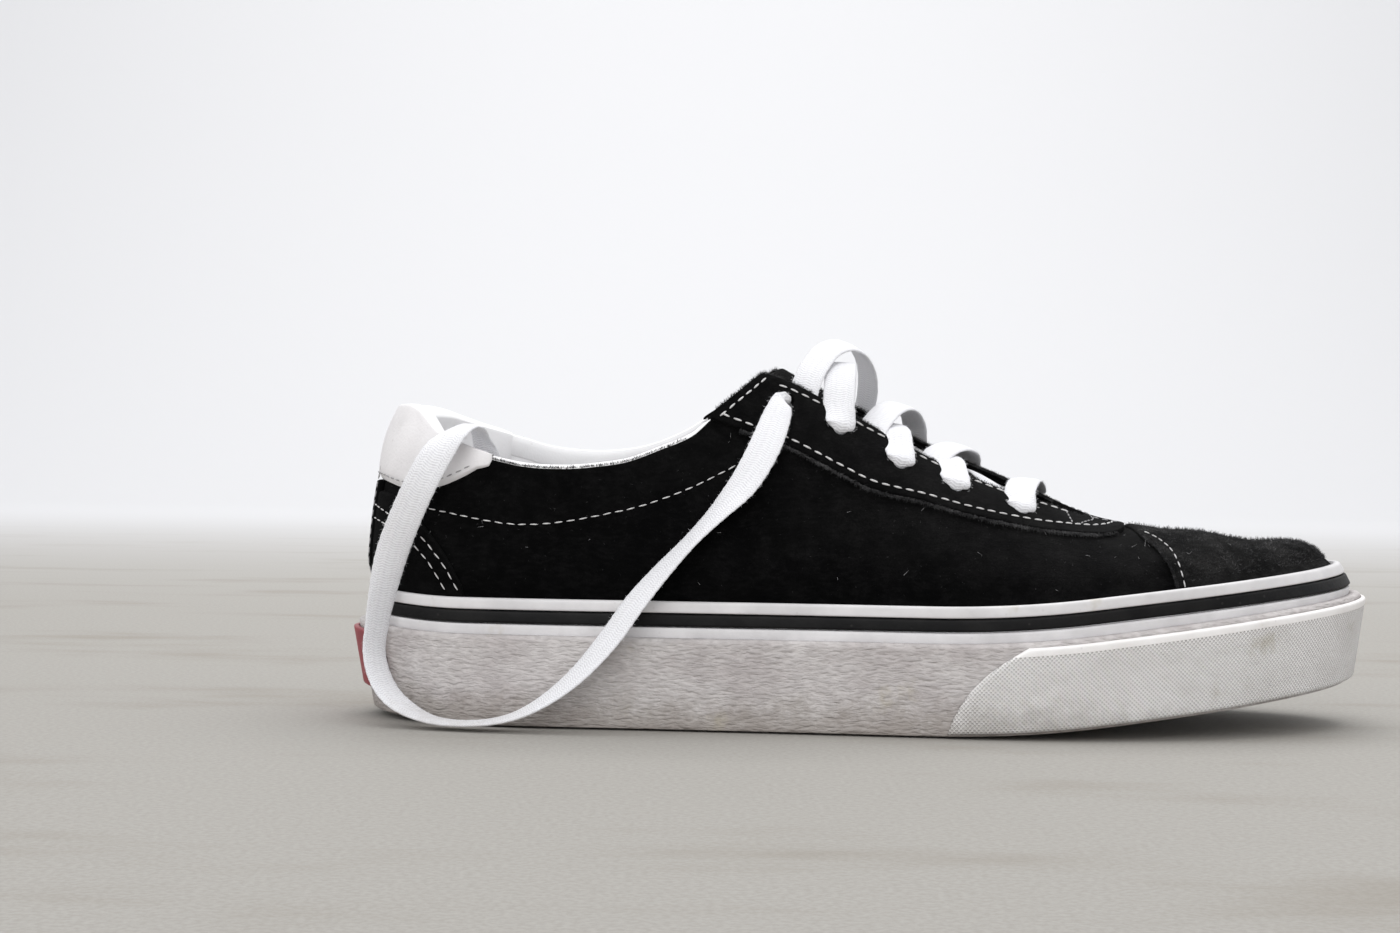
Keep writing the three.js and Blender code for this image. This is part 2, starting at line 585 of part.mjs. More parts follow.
// Both strands of a crossing: each leaves an eyelet, humps over the throat and dives in at the other edge
function laceCross(pair, hump) {
  const halves = [0, 1].map((side) => {
    const { at } = eyelets[pair][side];
    const sign = side ? 1 : -1;
    const half = EYELETS[pair] / 2 + EYELETS[pair + 1] / 2;
    const endX = half + (side ? 0 : EYELET_SKEW);
    const edgeX = THREE.MathUtils.lerp(at.x, endX, 0.25);
    return strand([
      [at.x, at.y, ON_EYESTAY],
      [edgeX, throatEdge(edgeX, sign), ON_EYESTAY + 0.3 * hump],
      [(at.x + endX) / 2, ridgeSide(at.x) + THROAT_SHIFT, ON_EYESTAY + hump],
      [endX, throatEdge(endX, -sign) + sign * 2.4, ON_TONGUE],
    ], 10);
  });
  return halves[0].add(halves[1]);
}

add('outsole', outsole(), OUTSOLE_RUBBER);
add('sidewall', sidewall(), RUBBER);
add('foxing_tape', smoothStrip(FLOOR_CLEAR, STRIPE_LOW - GAP), RUBBER);
add('pinstripe', smoothStrip(STRIPE_LOW, STRIPE_HIGH), BLACK_RUBBER);
add('foxing_top', smoothStrip(STRIPE_HIGH + GAP, FOXING_HEIGHT, STRIP_ROUNDING), RUBBER);
add('toe_bumper', toeBumper(), RUBBER);
add('heel_tab', heelTab(), RED_RUBBER);
add('upper', upper(), SUEDE);
add('tongue', tongue(), SUEDE);
add('insole', insole(), TEXTILE);
add('eyestay_outer', eyestay(EYESTAY_BACK_OUTER, -90, ridgeSide(70) - GAP), SUEDE);
add('eyestay_inner', eyestay(EYESTAY_BACK_INNER, ridgeSide(70) + GAP, 90), SUEDE);
add('toe_vamp', toeVamp(), SUEDE);
add('counter_outer', counter(-90, -BACK_STAY_HALF - GAP), SUEDE);
add('counter_inner', counter(BACK_STAY_HALF + GAP, 90), SUEDE);
add('back_stay', backStay(), SUEDE);
add('heel_patch', heelPatch(), WHITE_LEATHER);
add('lace_bar', laceBar(), LACE);
add('lace_cross_low', laceCross(1, 2.2), LACE);
add('lace_cross_high', laceCross(2, 4.5), LACE);
add('lace_loop_near', rod(LOOP_NEAR, LACE_TUBE, 9), LACE);
add('lace_loop_far', rod(LOOP_FAR, LACE_TUBE, 9), LACE);
add('lace_end', rod(LACE_END, LACE_TUBE, 40), LACE);
add('aglet', rod([AGLET_START, AGLET_END], AGLET, 2), CLEAR_TIP);

export default shoe;
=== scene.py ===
# %% [markdown]
# # A worn low-top sneaker, dressed for the camera
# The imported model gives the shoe's solids. This script loads them as a fixed frame and lays the looks over
# them: napped suede, stitched panels, padded leather, dirty rubber and a flat cotton lace. Everything is
# worked out in millimetres and made smaller by a thousand when a mesh is finished.

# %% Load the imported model
import math
from functools import partial

import bmesh
import bpy
import numpy as np
from mathutils import Matrix, Vector

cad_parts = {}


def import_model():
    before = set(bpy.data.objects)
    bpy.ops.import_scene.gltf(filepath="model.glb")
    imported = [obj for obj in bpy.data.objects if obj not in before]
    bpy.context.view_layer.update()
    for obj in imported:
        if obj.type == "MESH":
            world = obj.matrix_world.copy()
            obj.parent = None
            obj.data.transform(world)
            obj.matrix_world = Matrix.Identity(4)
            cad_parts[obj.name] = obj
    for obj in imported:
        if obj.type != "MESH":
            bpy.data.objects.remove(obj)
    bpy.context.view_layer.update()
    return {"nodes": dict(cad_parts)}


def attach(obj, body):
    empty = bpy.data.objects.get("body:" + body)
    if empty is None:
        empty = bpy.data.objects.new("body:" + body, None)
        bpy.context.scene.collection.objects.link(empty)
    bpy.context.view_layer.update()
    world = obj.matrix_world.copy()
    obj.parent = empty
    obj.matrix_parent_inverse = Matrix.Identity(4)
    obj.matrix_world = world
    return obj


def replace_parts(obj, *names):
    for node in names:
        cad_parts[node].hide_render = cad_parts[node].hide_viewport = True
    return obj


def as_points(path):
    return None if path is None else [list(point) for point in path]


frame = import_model()
print("CAD nodes:", len(frame["nodes"]))

# %% [markdown]
# The camera stands low beside the shoe's outer side, almost level, as the photographer did.
# Its roll of under a degree is the photograph's own.

# %% Camera
CAMERA_PLACE, LOOKS_DOWN, ROLLED = (-0.0476, -0.68, 0.0746), 0.16, 0.77


def stand(thing):
    """Links a new object to the scene."""
    bpy.context.scene.collection.objects.link(thing)
    return thing


lens = bpy.data.cameras.new("camera")
lens.lens, lens.sensor_width = 60, 36
lens.clip_start, lens.clip_end = 0.01, 50
camera = stand(bpy.data.objects.new("camera", lens))
bpy.context.scene.camera = camera
camera.matrix_world = (
    Matrix.Translation(CAMERA_PLACE)
    @ Matrix.Rotation(math.radians(90 - LOOKS_DOWN), 4, "X")
    @ Matrix.Rotation(math.radians(ROLLED), 4, "Z")
)
print("camera at", tuple(round(c, 3) for c in camera.location))

# %% [markdown]
# The sizes below are the model's own, so a panel made here lies exactly where its solid lies.

# %% Sizes of the shoe
MM = 0.001
GAP = 0.3
FLEX_START, FLEX_END, TOE_RISE = 17, 60, 0.125
HEEL_START, HEEL_LIFT = -112, 2.6
FOXING_HEIGHT, FOXING_TOE_HEIGHT = 35.6, 34.8
SIDEWALL_THICK, TAPE_THICK = 3.1, 1.8
STRIPE_LOW, STRIPE_HIGH = 28.7, 32.1
FLOOR_CLEAR, SOLE_SLAB = 0.6, 13.4
TAPE_OUT = -(SIDEWALL_THICK + GAP)
TAPE_IN = TAPE_OUT - TAPE_THICK
BUMPER_ENDS = [[19, -4], [22, 6], [29, 16], [40, 24], [52, 30]]
BUMPER_THICK, TAB_THICK, TAB_LOW, TAB_HIGH, TAB_WIDE = 1.3, 1.6, 6.6, 23.2, 43
WALL, OVERLAY, COLLAR_PAD, COLLAR_ROLL = 2.2, 1.2, 7, 1.9
TONGUE_THICK, TONGUE_SUNK, INSOLE_THICK = 3.2, 2, 4
LACE_WIDE, LACE_THICK = 9.0, 1.2
TUCK, TUCK_FADE = 1.6, 8
BACK_STAY_HALF = 8.5
THROAT_POINT, THROAT_ROUND, THROAT_SHIFT, THROAT_BACK, THROAT_LOW = 62, 2.5, -4, -60, 40
COUNTER_FRONT = -111.2

TOE_TIP, HEEL_TIP = [147, 8], [-146.7, 0]
SOLE_PAIRS = [
    [142.3, -9.5, 25], [130.6, -24.5, 36.5], [111.3, -37, 45.5], [86, -46.7, 50.6], [55, -51.7, 51.7],
    [18, -50.2, 46], [-20, -45.6, 38], [-60, -41.8, 35.4], [-94, -38.8, 36], [-120, -33.6, 33],
    [-136, -23.4, 23.8], [-144, -12.2, 12.6],
]
RIDGE_HEIGHT = [
    [126, 50.1], [116, 50.3], [104, 52.2], [92, 54.2], [78, 56.4], [68, 58.6], [61, 60.8], [53, 64.3],
    [40, 70], [27, 76], [15, 82.7], [5, 89.3], [-4, 95.4], [-14, 101.4], [-25, 107.5], [-40, 114],
    [-60, 120], [-85, 121.5], [-110, 116],
]
RIDGE_TILT = [
    [80, 0], [55, 0.22], [40, 0.28], [22, 0.25], [12, 0.2], [0, 0.15], [-12, 0.08], [-30, 0.02], [-60, 0],
]
RIDGE_SIDE = [[126, 6], [60, 6], [20, 5], [-25, 3], [-85, 0], [-110, 0]]
RIDGE_X = [[141, 126], [128, 117], [112, 103], [88, 84], [60, 60], [-85, -82], [-120, -101], [-141.4, -110]]
SIDE_RISE = [[126, 0.84], [100, 0.74], [55, 0.62], [0, 0.5], [-50, 0.52], [-85, 0.55], [-110, 0.55]]
SIDE_SWELL = [[126, 3], [100, 2.2], [55, 3.2], [0, 3.4], [-50, 4.4], [-85, 4.6], [-110, 5]]
SHOULDER = [[126, 0.9], [104, 0.76], [88, 0.68], [55, 0.6], [0, 0.46], [-40, 0.62], [-85, 0.9], [-110, 0.68]]
RIM_OUTER = [
    [-170, 87.6], [-131, 88.4], [-127, 86.9], [-120.6, 80.8], [-111.3, 76.9], [-105, 75.2], [-95.9, 73.4],
    [-85.6, 73], [-77.5, 73.6], [-67.8, 75.2], [-58.9, 78.6], [-49.9, 82.6], [-45, 87], [-28.6, 101],
    [-20.6, 107],
]
RIM_INNER = [
    [-170, 87.6], [-131, 88.4], [-125.3, 87.9], [-118.7, 86], [-111.5, 83.8], [-100.3, 80.8], [-92.4, 78.6],
    [-80, 77.4], [-70, 78], [-61.8, 79.8], [-52, 84], [-45, 88.5], [-23, 103.5], [-15, 109.5],
]
EYESTAY_LOWER = [
    [-49, 87.5], [-36.6, 82.8], [-24.4, 78.6], [-9.3, 71], [0.4, 66.4], [14.2, 63.1], [26.6, 59.7],
    [38.6, 57.1], [49.6, 55.3], [63.3, 54.2], [71.5, 54.6], [77.4, 57],
]
VAMP_SEAM = [[20, 88.5], [34, 87.4], [41, 86.6], [46.4, 85.3], [51, 83], [54, 80.5], [80, 80.5]]
COUNTER_TOP = [
    [-150, 65], [-136, 64], [-129, 60], [-123, 53.2], [-118.4, 47.4], [-115, 41.6], [-112.8, 36], [-111, 20],
]
PATCH_LOWER = [
    [-150, 68.6], [-139.6, 68], [-130, 65.4], [-121, 66], [-115.5, 68], [-109, 71.6], [-105, 75.5],
    [-104, 95],
]
THROAT_HALF = [[62, 2.5], [52, 5], [40, 8], [0, 12.5], [-28, 15], [-60, 24]]
EYELETS = [43.5, 24.5, 8.5, -8.6, -23.5]
EYELET_SKEW = 7
EYELET_IN = [12, 10.5, 11, 9, 7.5]
print("sole pairs:", len(SOLE_PAIRS))

# %% [markdown]
# A few chosen points become a smooth line. Each line is written as a function, and takes whole arrays at
# once, so that tens of thousands of points are placed in one go.


# %% Smooth functions
def through(points):
    """A smooth function through points (at, value)."""
    x, y = np.array(sorted(points, key=lambda q: q[0]), float).T
    back, fore = np.maximum(np.arange(len(x)) - 1, 0), np.minimum(np.arange(len(x)) + 1, len(x) - 1)
    slope = (y[fore] - y[back]) / (x[fore] - x[back])

    def value(at):
        at = np.asarray(at, float)
        i = np.clip(np.searchsorted(x, at, side="right") - 1, 0, len(x) - 2)
        h = x[i + 1] - x[i]
        t = (at - x[i]) / h
        inside = (1 + 2 * t) * (1 - t) ** 2 * y[i] + t * (1 - t) ** 2 * h * slope[i]
        inside += t * t * (3 - 2 * t) * y[i + 1] + t * t * (t - 1) * h * slope[i + 1]
        before, after = y[0] + slope[0] * (at - x[0]), y[-1] + slope[-1] * (at - x[-1])
        return np.where(at <= x[0], before, np.where(at >= x[-1], after, inside))

    return value


def fade(x):
    x = np.clip(x, 0, 1)
    return x * x * (3 - 2 * x)


def stack(*parts):
    return np.stack(np.broadcast_arrays(*parts), -1)


def unit(v):
    return v / np.maximum(np.linalg.norm(v, axis=-1, keepdims=True), 1e-9)


def way_walked(points):
    """How far along a line each of its points lies."""
    return np.concatenate([[0], np.cumsum(np.linalg.norm(np.diff(points, axis=0), axis=1))])


ridge_height, ridge_side, ridge_x = through(RIDGE_HEIGHT), through(RIDGE_SIDE), through(RIDGE_X)
ridge_tilt, side_rise, side_swell = through(RIDGE_TILT), through(SIDE_RISE), through(SIDE_SWELL)
shoulder, throat_half = through(SHOULDER), through(THROAT_HALF)
rim_outer, rim_inner = through(RIM_OUTER), through(RIM_INNER)
eyestay_lower, vamp_seam = through(EYESTAY_LOWER), through(VAMP_SEAM)
counter_top, patch_lower = through(COUNTER_TOP), through(PATCH_LOWER)
print("ridge over the throat point:", float(ridge_height(THROAT_POINT)))

# %% [markdown]
# The last is the wooden foot that a shoe is made over. Here it is a surface with two directions:
# p goes round the sole, from the toe (0) along the outer side to the heel (0.5) and back,
# and v goes up from the sole (0) to the ridge along the foot's top (1).


# %% The sole's outline and the rubber wall
OUTLINE = np.array(
    [TOE_TIP, *([x, y] for x, y, _ in SOLE_PAIRS), HEEL_TIP, *([x, y] for x, _, y in SOLE_PAIRS[::-1])], float
)


def outline(p):
    """The sole's widest line: a point and its direction, seen from above."""
    s = np.mod(p, 1) * len(OUTLINE)
    i = np.floor(s).astype(int)
    w = (s - i)[..., None]
    a, b, c, d = (OUTLINE[(i + k) % len(OUTLINE)] for k in (-1, 0, 1, 2))
    t0, t1 = (c - a) / 2, (d - b) / 2
    q2, q3 = -3 * b + 3 * c - 2 * t0 - t1, 2 * b - 2 * c + t0 + t1
    return b + w * (t0 + w * (q2 + w * q3)), unit(t0 + w * (2 * q2 + 3 * w * q3))


def around(p, outwards):
    at, along = outline(np.asarray(p, float))
    return at[..., 0] - along[..., 1] * outwards, at[..., 1] + along[..., 0] * outwards


def toeward(x):
    return fade((x - 60) / 88)


def foxing_height(x):
    return FOXING_HEIGHT + (FOXING_TOE_HEIGHT - FOXING_HEIGHT) * toeward(x)


def sole_bottom(x):
    x = np.asarray(x, float)
    heel = HEEL_LIFT * ((HEEL_START - np.minimum(x, HEEL_START)) / (HEEL_START - HEEL_TIP[0])) ** 2
    bend = TOE_RISE * np.clip(x - FLEX_START, 0, FLEX_END - FLEX_START) ** 2 / (2 * (FLEX_END - FLEX_START))
    return heel + bend + TOE_RISE * np.maximum(x - FLEX_END, 0)


def lean(x, height):
    lean_from = STRIPE_LOW - GAP
    under = 1.4 + 4 * fade((-96 - x) / 50) + 2.6 * fade((x - 90) / 56)
    over = 3.4 * fade((x - 92) / 50)
    up_tape = np.clip((height - lean_from) / (FOXING_HEIGHT - lean_from), 0, 1)
    return under * np.clip(1 - height / lean_from, 0, 1) + over * up_tape


def wall_point(p, outwards, height):
    """A point of the rubber wall; heights near the toe come down in proportion, as its strips do."""
    at_x, _ = around(p, 0)
    x, y = around(p, outwards - lean(at_x, height))
    return stack(x, y, sole_bottom(x) + height)


def at_toe(p, height):
    at_x, _ = around(p, 0)
    return height * (1 - (FOXING_HEIGHT - FOXING_TOE_HEIGHT) / FOXING_HEIGHT * toeward(at_x))


print("heel tip leans in by", float(lean(HEEL_TIP[0], 0)))


# %% The last
def last_point(p, v):
    p, v = np.broadcast_arrays(np.asarray(p, float), np.asarray(v, float))
    at, along = outline(p)
    out = stack(-along[..., 1], along[..., 0], 0)
    bx, by = around(p, TAPE_IN - GAP)
    base = stack(bx, by, sole_bottom(bx) + SOLE_SLAB + GAP)
    x = ridge_x(bx)
    top = stack(x, ridge_side(x), ridge_height(x))
    side = base + out * side_swell(x)[..., None]
    side[..., 2] += side_rise(x) * (top[..., 2] - base[..., 2])
    over = top + (base - top) * shoulder(x)[..., None]
    across = over[..., 1] - top[..., 1]
    slope = (ridge_height(x + 1) - ridge_height(x - 1)) / 2
    tilt = ridge_tilt(x) * across * np.where(across > 0, 0.6, 1)
    over[..., 2] = top[..., 2] + slope * (over[..., 0] - top[..., 0]) + tilt
    t = v[..., None]
    spot = (1 - t) ** 3 * base + 3 * t * (1 - t) ** 2 * side + 3 * t * t * (1 - t) * over + t**3 * top
    height = spot[..., 2] - sole_bottom(spot[..., 0])
    tucked = TUCK * (1 - fade((height - foxing_height(spot[..., 0])) / TUCK_FADE))
    return spot - out * (tucked + lean(at[..., 0], height) * (1 - v**3))[..., None]


def last_normal(p, v):
    p, v = np.broadcast_arrays(np.asarray(p, float), np.asarray(v, float))
    step = 1e-3
    along = last_point(p + step, v) - last_point(p - step, v)
    up = last_point(p, v + step) - last_point(p, np.maximum(v - step, 0))
    x = last_point(p, np.ones_like(v))[..., 0]
    ridge = stack(-(ridge_height(x + 1) - ridge_height(x - 1)) / 2, 0, 1)
    return unit(np.where((v > 0.999)[..., None], ridge, np.cross(up, along)))

# %% [markdown]
# A worn shoe keeps the shape of its walks. Its front is soft, so a few shallow troughs and ridges lie across
# the toe panel where the foot bends, and the sides sink a little behind them.
# They are listed, each with a place, a width and a depth, and every panel over them follows.

# %% Creases
CREASES = [  # x at the ridge, slant, half width, depth, reach down the side
    (108, 0.12, 7.0, -0.55, 0.6), (97, 0.08, 7.0, 0.45, 0.6), (88.5, -0.1, 3.0, -0.3, 0.5),
    (119, 0.1, 6.0, 0.3, 0.6), (70, -0.3, 6.0, -0.3, 0.4), (20, -0.35, 9.0, -0.4, 0.25),
]


def creases(at, v):
    """How far the worn shape stands off the last at these points."""
    x, y = at[..., 0], at[..., 1]
    rise = np.zeros_like(x)
    for place, slant, wide, deep, reach in CREASES:
        off = (x - place - slant * np.abs(y - 6)) / wide
        rise += deep * np.exp(-off * off) * fade((v - (1 - reach)) / 0.3)
    return rise


def skin(p, v, height=0.0):
    """Points on the worn upper, at a height over it."""
    at = last_point(p, v)
    rise = creases(at, np.broadcast_to(v, at.shape[:-1])) + height
    return at + last_normal(p, v) * rise[..., None]


print("deepest crease:", min(c[3] for c in CREASES), "mm")

# %% [markdown]
# Panels end on lines that are drawn on the upper. A search up each column of the last finds where a line
# lies.


# %% Searches on the last
def halve(test, low, high, steps):
    """Closes in, from low to high, on where a test stops being met; gives both sides of that place."""
    for _ in range(steps):
        middle = (low + high) / 2
        met = test(middle)
        low, high = np.where(met, middle, low), np.where(met, high, middle)
    return low, high


def first_level(p, test, low=0.02, high=1.0, steps=220):
    """Going up from low, the first level at which a test on the point is met, or high."""
    p = np.asarray(p, float)
    levels = np.linspace(low, high, steps)
    met = test(last_point(p[:, None], levels[None, :]))
    found = np.argmax(met, axis=1)
    start, to = levels[np.maximum(found - 1, 0)], levels[found]
    _, to = halve(lambda level: ~test(last_point(p, level)), start, to, 18)
    return np.where(met.any(axis=1), to, high)


def way_up(p, level, step=0.02):
    """The direction up the last's side, just under these points."""
    return unit(last_point(p, level) - last_point(p, level - step))


def on_side(p, side):
    """A share of the outer side (-1), or the share across from it on the inner side (1)."""
    return p if side < 0 else 1 - p


def throat_edge(x, side):
    return ridge_side(x) + THROAT_SHIFT + side * throat_half(x)


def in_throat(at, grow=0.0):
    x, y = at[..., 0], at[..., 1]
    wide = np.abs(y - ridge_side(x) - THROAT_SHIFT) < throat_half(x) + grow
    return wide & (x < THROAT_POINT + THROAT_ROUND + grow) & (x > THROAT_BACK) & (at[..., 2] > THROAT_LOW)


def above_rim(at, raised=0.0):
    x, y, z = at[..., 0], at[..., 1], at[..., 2]
    outer = (z > rim_outer(x) + raised) & (x < RIM_OUTER[-1][0])
    inner = (z > rim_inner(x) + raised) & (x < RIM_INNER[-1][0])
    return np.where(y < 0, outer, inner)


def in_opening(at):
    return in_throat(at) | above_rim(at)


def foxing_level(p, below=4.0):
    """The level just under the top of the rubber wall."""
    return first_level(p, lambda at: at[..., 2] - sole_bottom(at[..., 0]) > foxing_height(at[..., 0]) - below)


def skin_at(x, y):
    """Points on the last over places seen from above, for arrays of x and y."""
    side = np.where(y > ridge_side(x), 1, -1)
    p, v = np.full_like(x, 0.25), np.full_like(x, 0.9)

    def before(share):
        return last_point(np.where(side > 0, 1 - share, share), v)[..., 0] > x

    def beyond(level):
        return np.abs(last_point(p, level)[..., 1] - ridge_side(x)) > np.abs(y - ridge_side(x))

    for _ in range(6):
        low, _ = halve(before, 0.03, 0.47, 22)
        p = np.where(side > 0, 1 - low, low)
        v, _ = halve(beyond, 0.15, 1.0, 22)
    return p, v


print("rim level beside the heel:", round(float(first_level(np.array([0.42]), above_rim)[0]), 3))

# %% [markdown]
# Every piece starts as a flat grid from bmesh, whose points are then laid on the shoe.
# A panel of leather is two such grids, its face and its back, joined at the rim: between its two skins the
# thickness grows from nothing at the edge to the full measure within a millimetre, which rounds the cut edge.


# %% Grids into pieces
def hang(name, mesh, material, smooth=True):
    """Puts a finished mesh on the shoe's body, with its material."""
    mesh.shade_smooth() if smooth else mesh.shade_flat()
    piece = stand(bpy.data.objects.new(name, mesh))
    mesh.materials.append(material)
    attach(piece, "root")
    print(name, len(mesh.polygons), "faces")
    return piece


def mesh_from(name, bm):
    """The mesh of a bmesh, which is then freed."""
    mesh = bpy.data.meshes.new(name)
    bm.to_mesh(mesh)
    bm.free()
    return mesh


def finish_mesh(name, bm, material, merge=0.004):
    """Closes the doubles, turns the faces out, scales to metres and hangs the piece on the shoe's body."""
    bmesh.ops.remove_doubles(bm, verts=bm.verts, dist=merge)
    bmesh.ops.dissolve_degenerate(bm, edges=bm.edges, dist=1e-5)
    bmesh.ops.recalc_face_normals(bm, faces=bm.faces)
    bmesh.ops.scale(bm, vec=(MM,) * 3, verts=bm.verts)
    return hang(name, mesh_from(name, bm), material)


def dress(node_name, material):
    """Gives a solid that stays in view its material."""
    materials = frame["nodes"][node_name].data.materials
    materials.clear()
    materials.append(material)


def grid_on(bm, columns, rows, place, uv_scale=(1.0, 1.0)):
    """A grid whose point (i, j) is put at place(columns[i], rows[j])."""
    columns, rows = np.asarray(columns, float), np.asarray(rows, float)
    made = bmesh.ops.create_grid(bm, x_segments=len(columns) - 1, y_segments=len(rows) - 1, size=1)["verts"]
    co = np.array([v.co[:2] for v in made])
    i = np.rint((co[:, 0] + 1) / 2 * (len(columns) - 1)).astype(int)
    j = np.rint((co[:, 1] + 1) / 2 * (len(rows) - 1)).astype(int)
    layer = bm.loops.layers.uv.verify()
    uvs = np.stack([columns[i] * uv_scale[0], rows[j] * uv_scale[1]], 1)
    for vert, spot, uv in zip(made, place(columns[i], rows[j], i, j), uvs):
        vert.co = spot
        for loop in vert.link_loops:
            loop[layer].uv = uv


def two_skins(name, columns, rows, place, material, uv_scale=(1.0, 1.0), merge=0.004):
    """A closed piece of two grids; place(outside, ...) puts the points of the outer and of the inner one."""
    bm = bmesh.new()
    for outside in (True, False):
        grid_on(bm, columns, rows, partial(place, outside), uv_scale)
    return finish_mesh(name, bm, material, merge)


def dense_ends(count, edge):
    """Shares from 0 to 1 with extra lines inside each end, for a rounded edge."""
    start = edge * np.array([0, 0.08, 0.3, 0.62])
    return np.concatenate([start, np.linspace(edge, 1 - edge, count), 1 - start[::-1]])


def dome(near):
    """A quarter circle's height, from 0 at 0 to 1 from 1 on."""
    return np.sqrt(1 - (1 - np.clip(near, 0, 1)) ** 2)


def rounded(share, edge):
    """Thickness over a panel: nothing at its rim, all of it one edge width further in."""
    return dome(np.minimum(share, 1 - share) / edge)


print("helpers ready")

# %% [markdown]
# ## Finishes
# Each effect that several finishes share, such as dirt or a leather's grain, is one group of nodes with named
# sockets. A material places the groups it needs, each with its own values, and ends in one shader.
# The patterns read the shoe's own coordinates in metres, so a scale of 1000 repeats once a millimetre.


# %% Making nodes
class Signal:
    """A node's output. Arithmetic on it adds Math nodes to its tree, and its methods add other nodes."""

    def __init__(self, socket):
        self.socket, self.tree = socket, socket.id_data

    def __add__(self, other):
        return calc("ADD", self, other)

    def __sub__(self, other):
        return calc("SUBTRACT", self, other)

    def __rsub__(self, other):
        return calc("SUBTRACT", other, self)

    def __mul__(self, other):
        return calc("MULTIPLY", self, other)

    def __truediv__(self, other):
        return calc("DIVIDE", self, other)

    def ramp(self, low, high, to_low=0.0, to_high=1.0):
        """Maps the value between two limits, smoothly and clamped."""
        sockets = {"Value": self, "From Min": low, "From Max": high, "To Min": to_low, "To Max": to_high}
        return node(self.tree, "MapRange", sockets, interpolation_type="SMOOTHSTEP")

    def blend(self, a, b):
        """Mixes two colours by this amount."""
        return node(self.tree, "Mix", {0: self, 6: a, 7: b}, 2, data_type="RGBA")

    def noise(self, scale, detail=3.0, rough=0.55, out="Fac"):
        sockets = {"Vector": self, "Scale": scale, "Detail": detail, "Roughness": rough}
        return node(self.tree, "TexNoise", sockets, out)

    def cells(self, scale):
        """The distance to the nearest of many scattered points."""
        return node(self.tree, "TexVoronoi", {"Vector": self, "Scale": scale}, feature="F1")

    def squeezed(self, scale, turned=(0, 0, 0)):
        return node(self.tree, "Mapping", {"Vector": self, "Rotation": turned, "Scale": scale})

    def bent(self, scale, detail, far):
        """Coordinates pushed about by noise."""
        push = {0: self.noise(scale, detail, 0.5, "Color"), "Scale": far}
        moved = node(self.tree, "VectorMath", push, operation="SCALE")
        return node(self.tree, "VectorMath", {0: self, 1: moved}, operation="ADD")

    def axis(self, name):
        return node(self.tree, "SeparateXYZ", {0: self}, name)

    def under(self, group, **sockets):
        """This colour with a group's dirt over it."""
        return use(self.tree, group, Color=self, **sockets)["Color"]

    def relief(self, distance):
        """A bumped normal: this height is taken as so many metres."""
        return node(self.tree, "Bump", {"Height": self, "Distance": distance, "Strength": 1.0})


def fill(tree, made, sockets):
    """Gives a node's sockets values or signals; a colour may leave its alpha out."""
    for key, value in sockets.items():
        socket = made.inputs[key.replace("_", " ") if isinstance(key, str) else key]
        if isinstance(value, Signal):
            tree.links.new(value.socket, socket)
        else:
            socket.default_value = (*value, 1) if socket.type == "RGBA" else value


def node(tree, kind, sockets, out=0, **settings):
    """The signal of a new node with its settings and sockets."""
    made = tree.nodes.new("ShaderNode" + kind)
    for key, value in settings.items():
        setattr(made, key, value)
    fill(tree, made, sockets)
    return Signal(made.outputs[out])


def calc(operation, a, b=0.0, clamp=False):
    """One Math node on signals or numbers."""
    tree = (a if isinstance(a, Signal) else b).tree
    return node(tree, "Math", {0: a, 1: b}, operation=operation, use_clamp=clamp)


def placed(tree, scale=(1, 1, 1)):
    """The shoe's own coordinates, squeezed along each axis."""
    return node(tree, "TexCoord", {}, "Object").squeezed(scale)


def shader_group(**inputs):
    """Turns a function into a group with named sockets: make(tree, given) returns its outputs by name."""

    def build(make):
        tree = bpy.data.node_groups.new(make.__name__, "ShaderNodeTree")
        for label, value in inputs.items():
            kind = "Color" if isinstance(value, tuple) else "Float"
            name = label.replace("_", " ")
            new = tree.interface.new_socket(name=name, in_out="INPUT", socket_type="NodeSocket" + kind)
            new.default_value = (*value, 1) if kind == "Color" else value
        given = tree.nodes.new("NodeGroupInput").outputs
        made = make(tree, {label: Signal(given[label.replace("_", " ")]) for label in inputs})
        for label in made:
            kind = "Color" if label == "Color" else "Float"
            tree.interface.new_socket(name=label, in_out="OUTPUT", socket_type="NodeSocket" + kind)
        fill(tree, tree.nodes.new("NodeGroupOutput"), made)
        print("group:", tree.name, "with", len(tree.nodes), "nodes")
        return tree

    return build


def use(tree, group, **sockets):
    """Places a group in a material and returns its signals by name."""
    placed_group = tree.nodes.new("ShaderNodeGroup")
    placed_group.node_tree = group
    fill(tree, placed_group, sockets)
    return {output.name: Signal(output) for output in placed_group.outputs}


WHITE = (1, 1, 1)
print("node helpers ready")

# %% [markdown]
# The group darkens a colour below a height, in blots, and breaks the edge of the darker zone with noise at
# two scales.


# %% Darker below a height
@shader_group(Color=WHITE, Soil_Color=(0.2, 0.17, 0.14), Top=0.02, Amount=0.6, Blots=120.0, Spread=0.3)
def soil(tree, given):
    # Darker towards the bottom: below the height Top the colour is mixed towards the given darker one.
    place = placed(tree)
    low = calc("SUBTRACT", 1.0, place.axis("Z") / given["Top"], clamp=True)
    mixed = place.noise(given["Blots"], 5.0, 0.65) * 0.72 + place.noise(1400.0, 3.0, 0.6) * 0.28
    edge = mixed + (low * 0.55 + given["Spread"]) - 0.95
    amount = calc("MULTIPLY", edge.ramp(-0.12, 0.35), given["Amount"], clamp=True)
    return {"Color": amount.blend(given["Color"], given["Soil_Color"])}

# %% [markdown]
# Suede is leather with its flesh side brushed up. Light catches the lying and the standing fibres
# differently, so it shows cloudy patches a few millimetres wide over a very fine tangled grain.


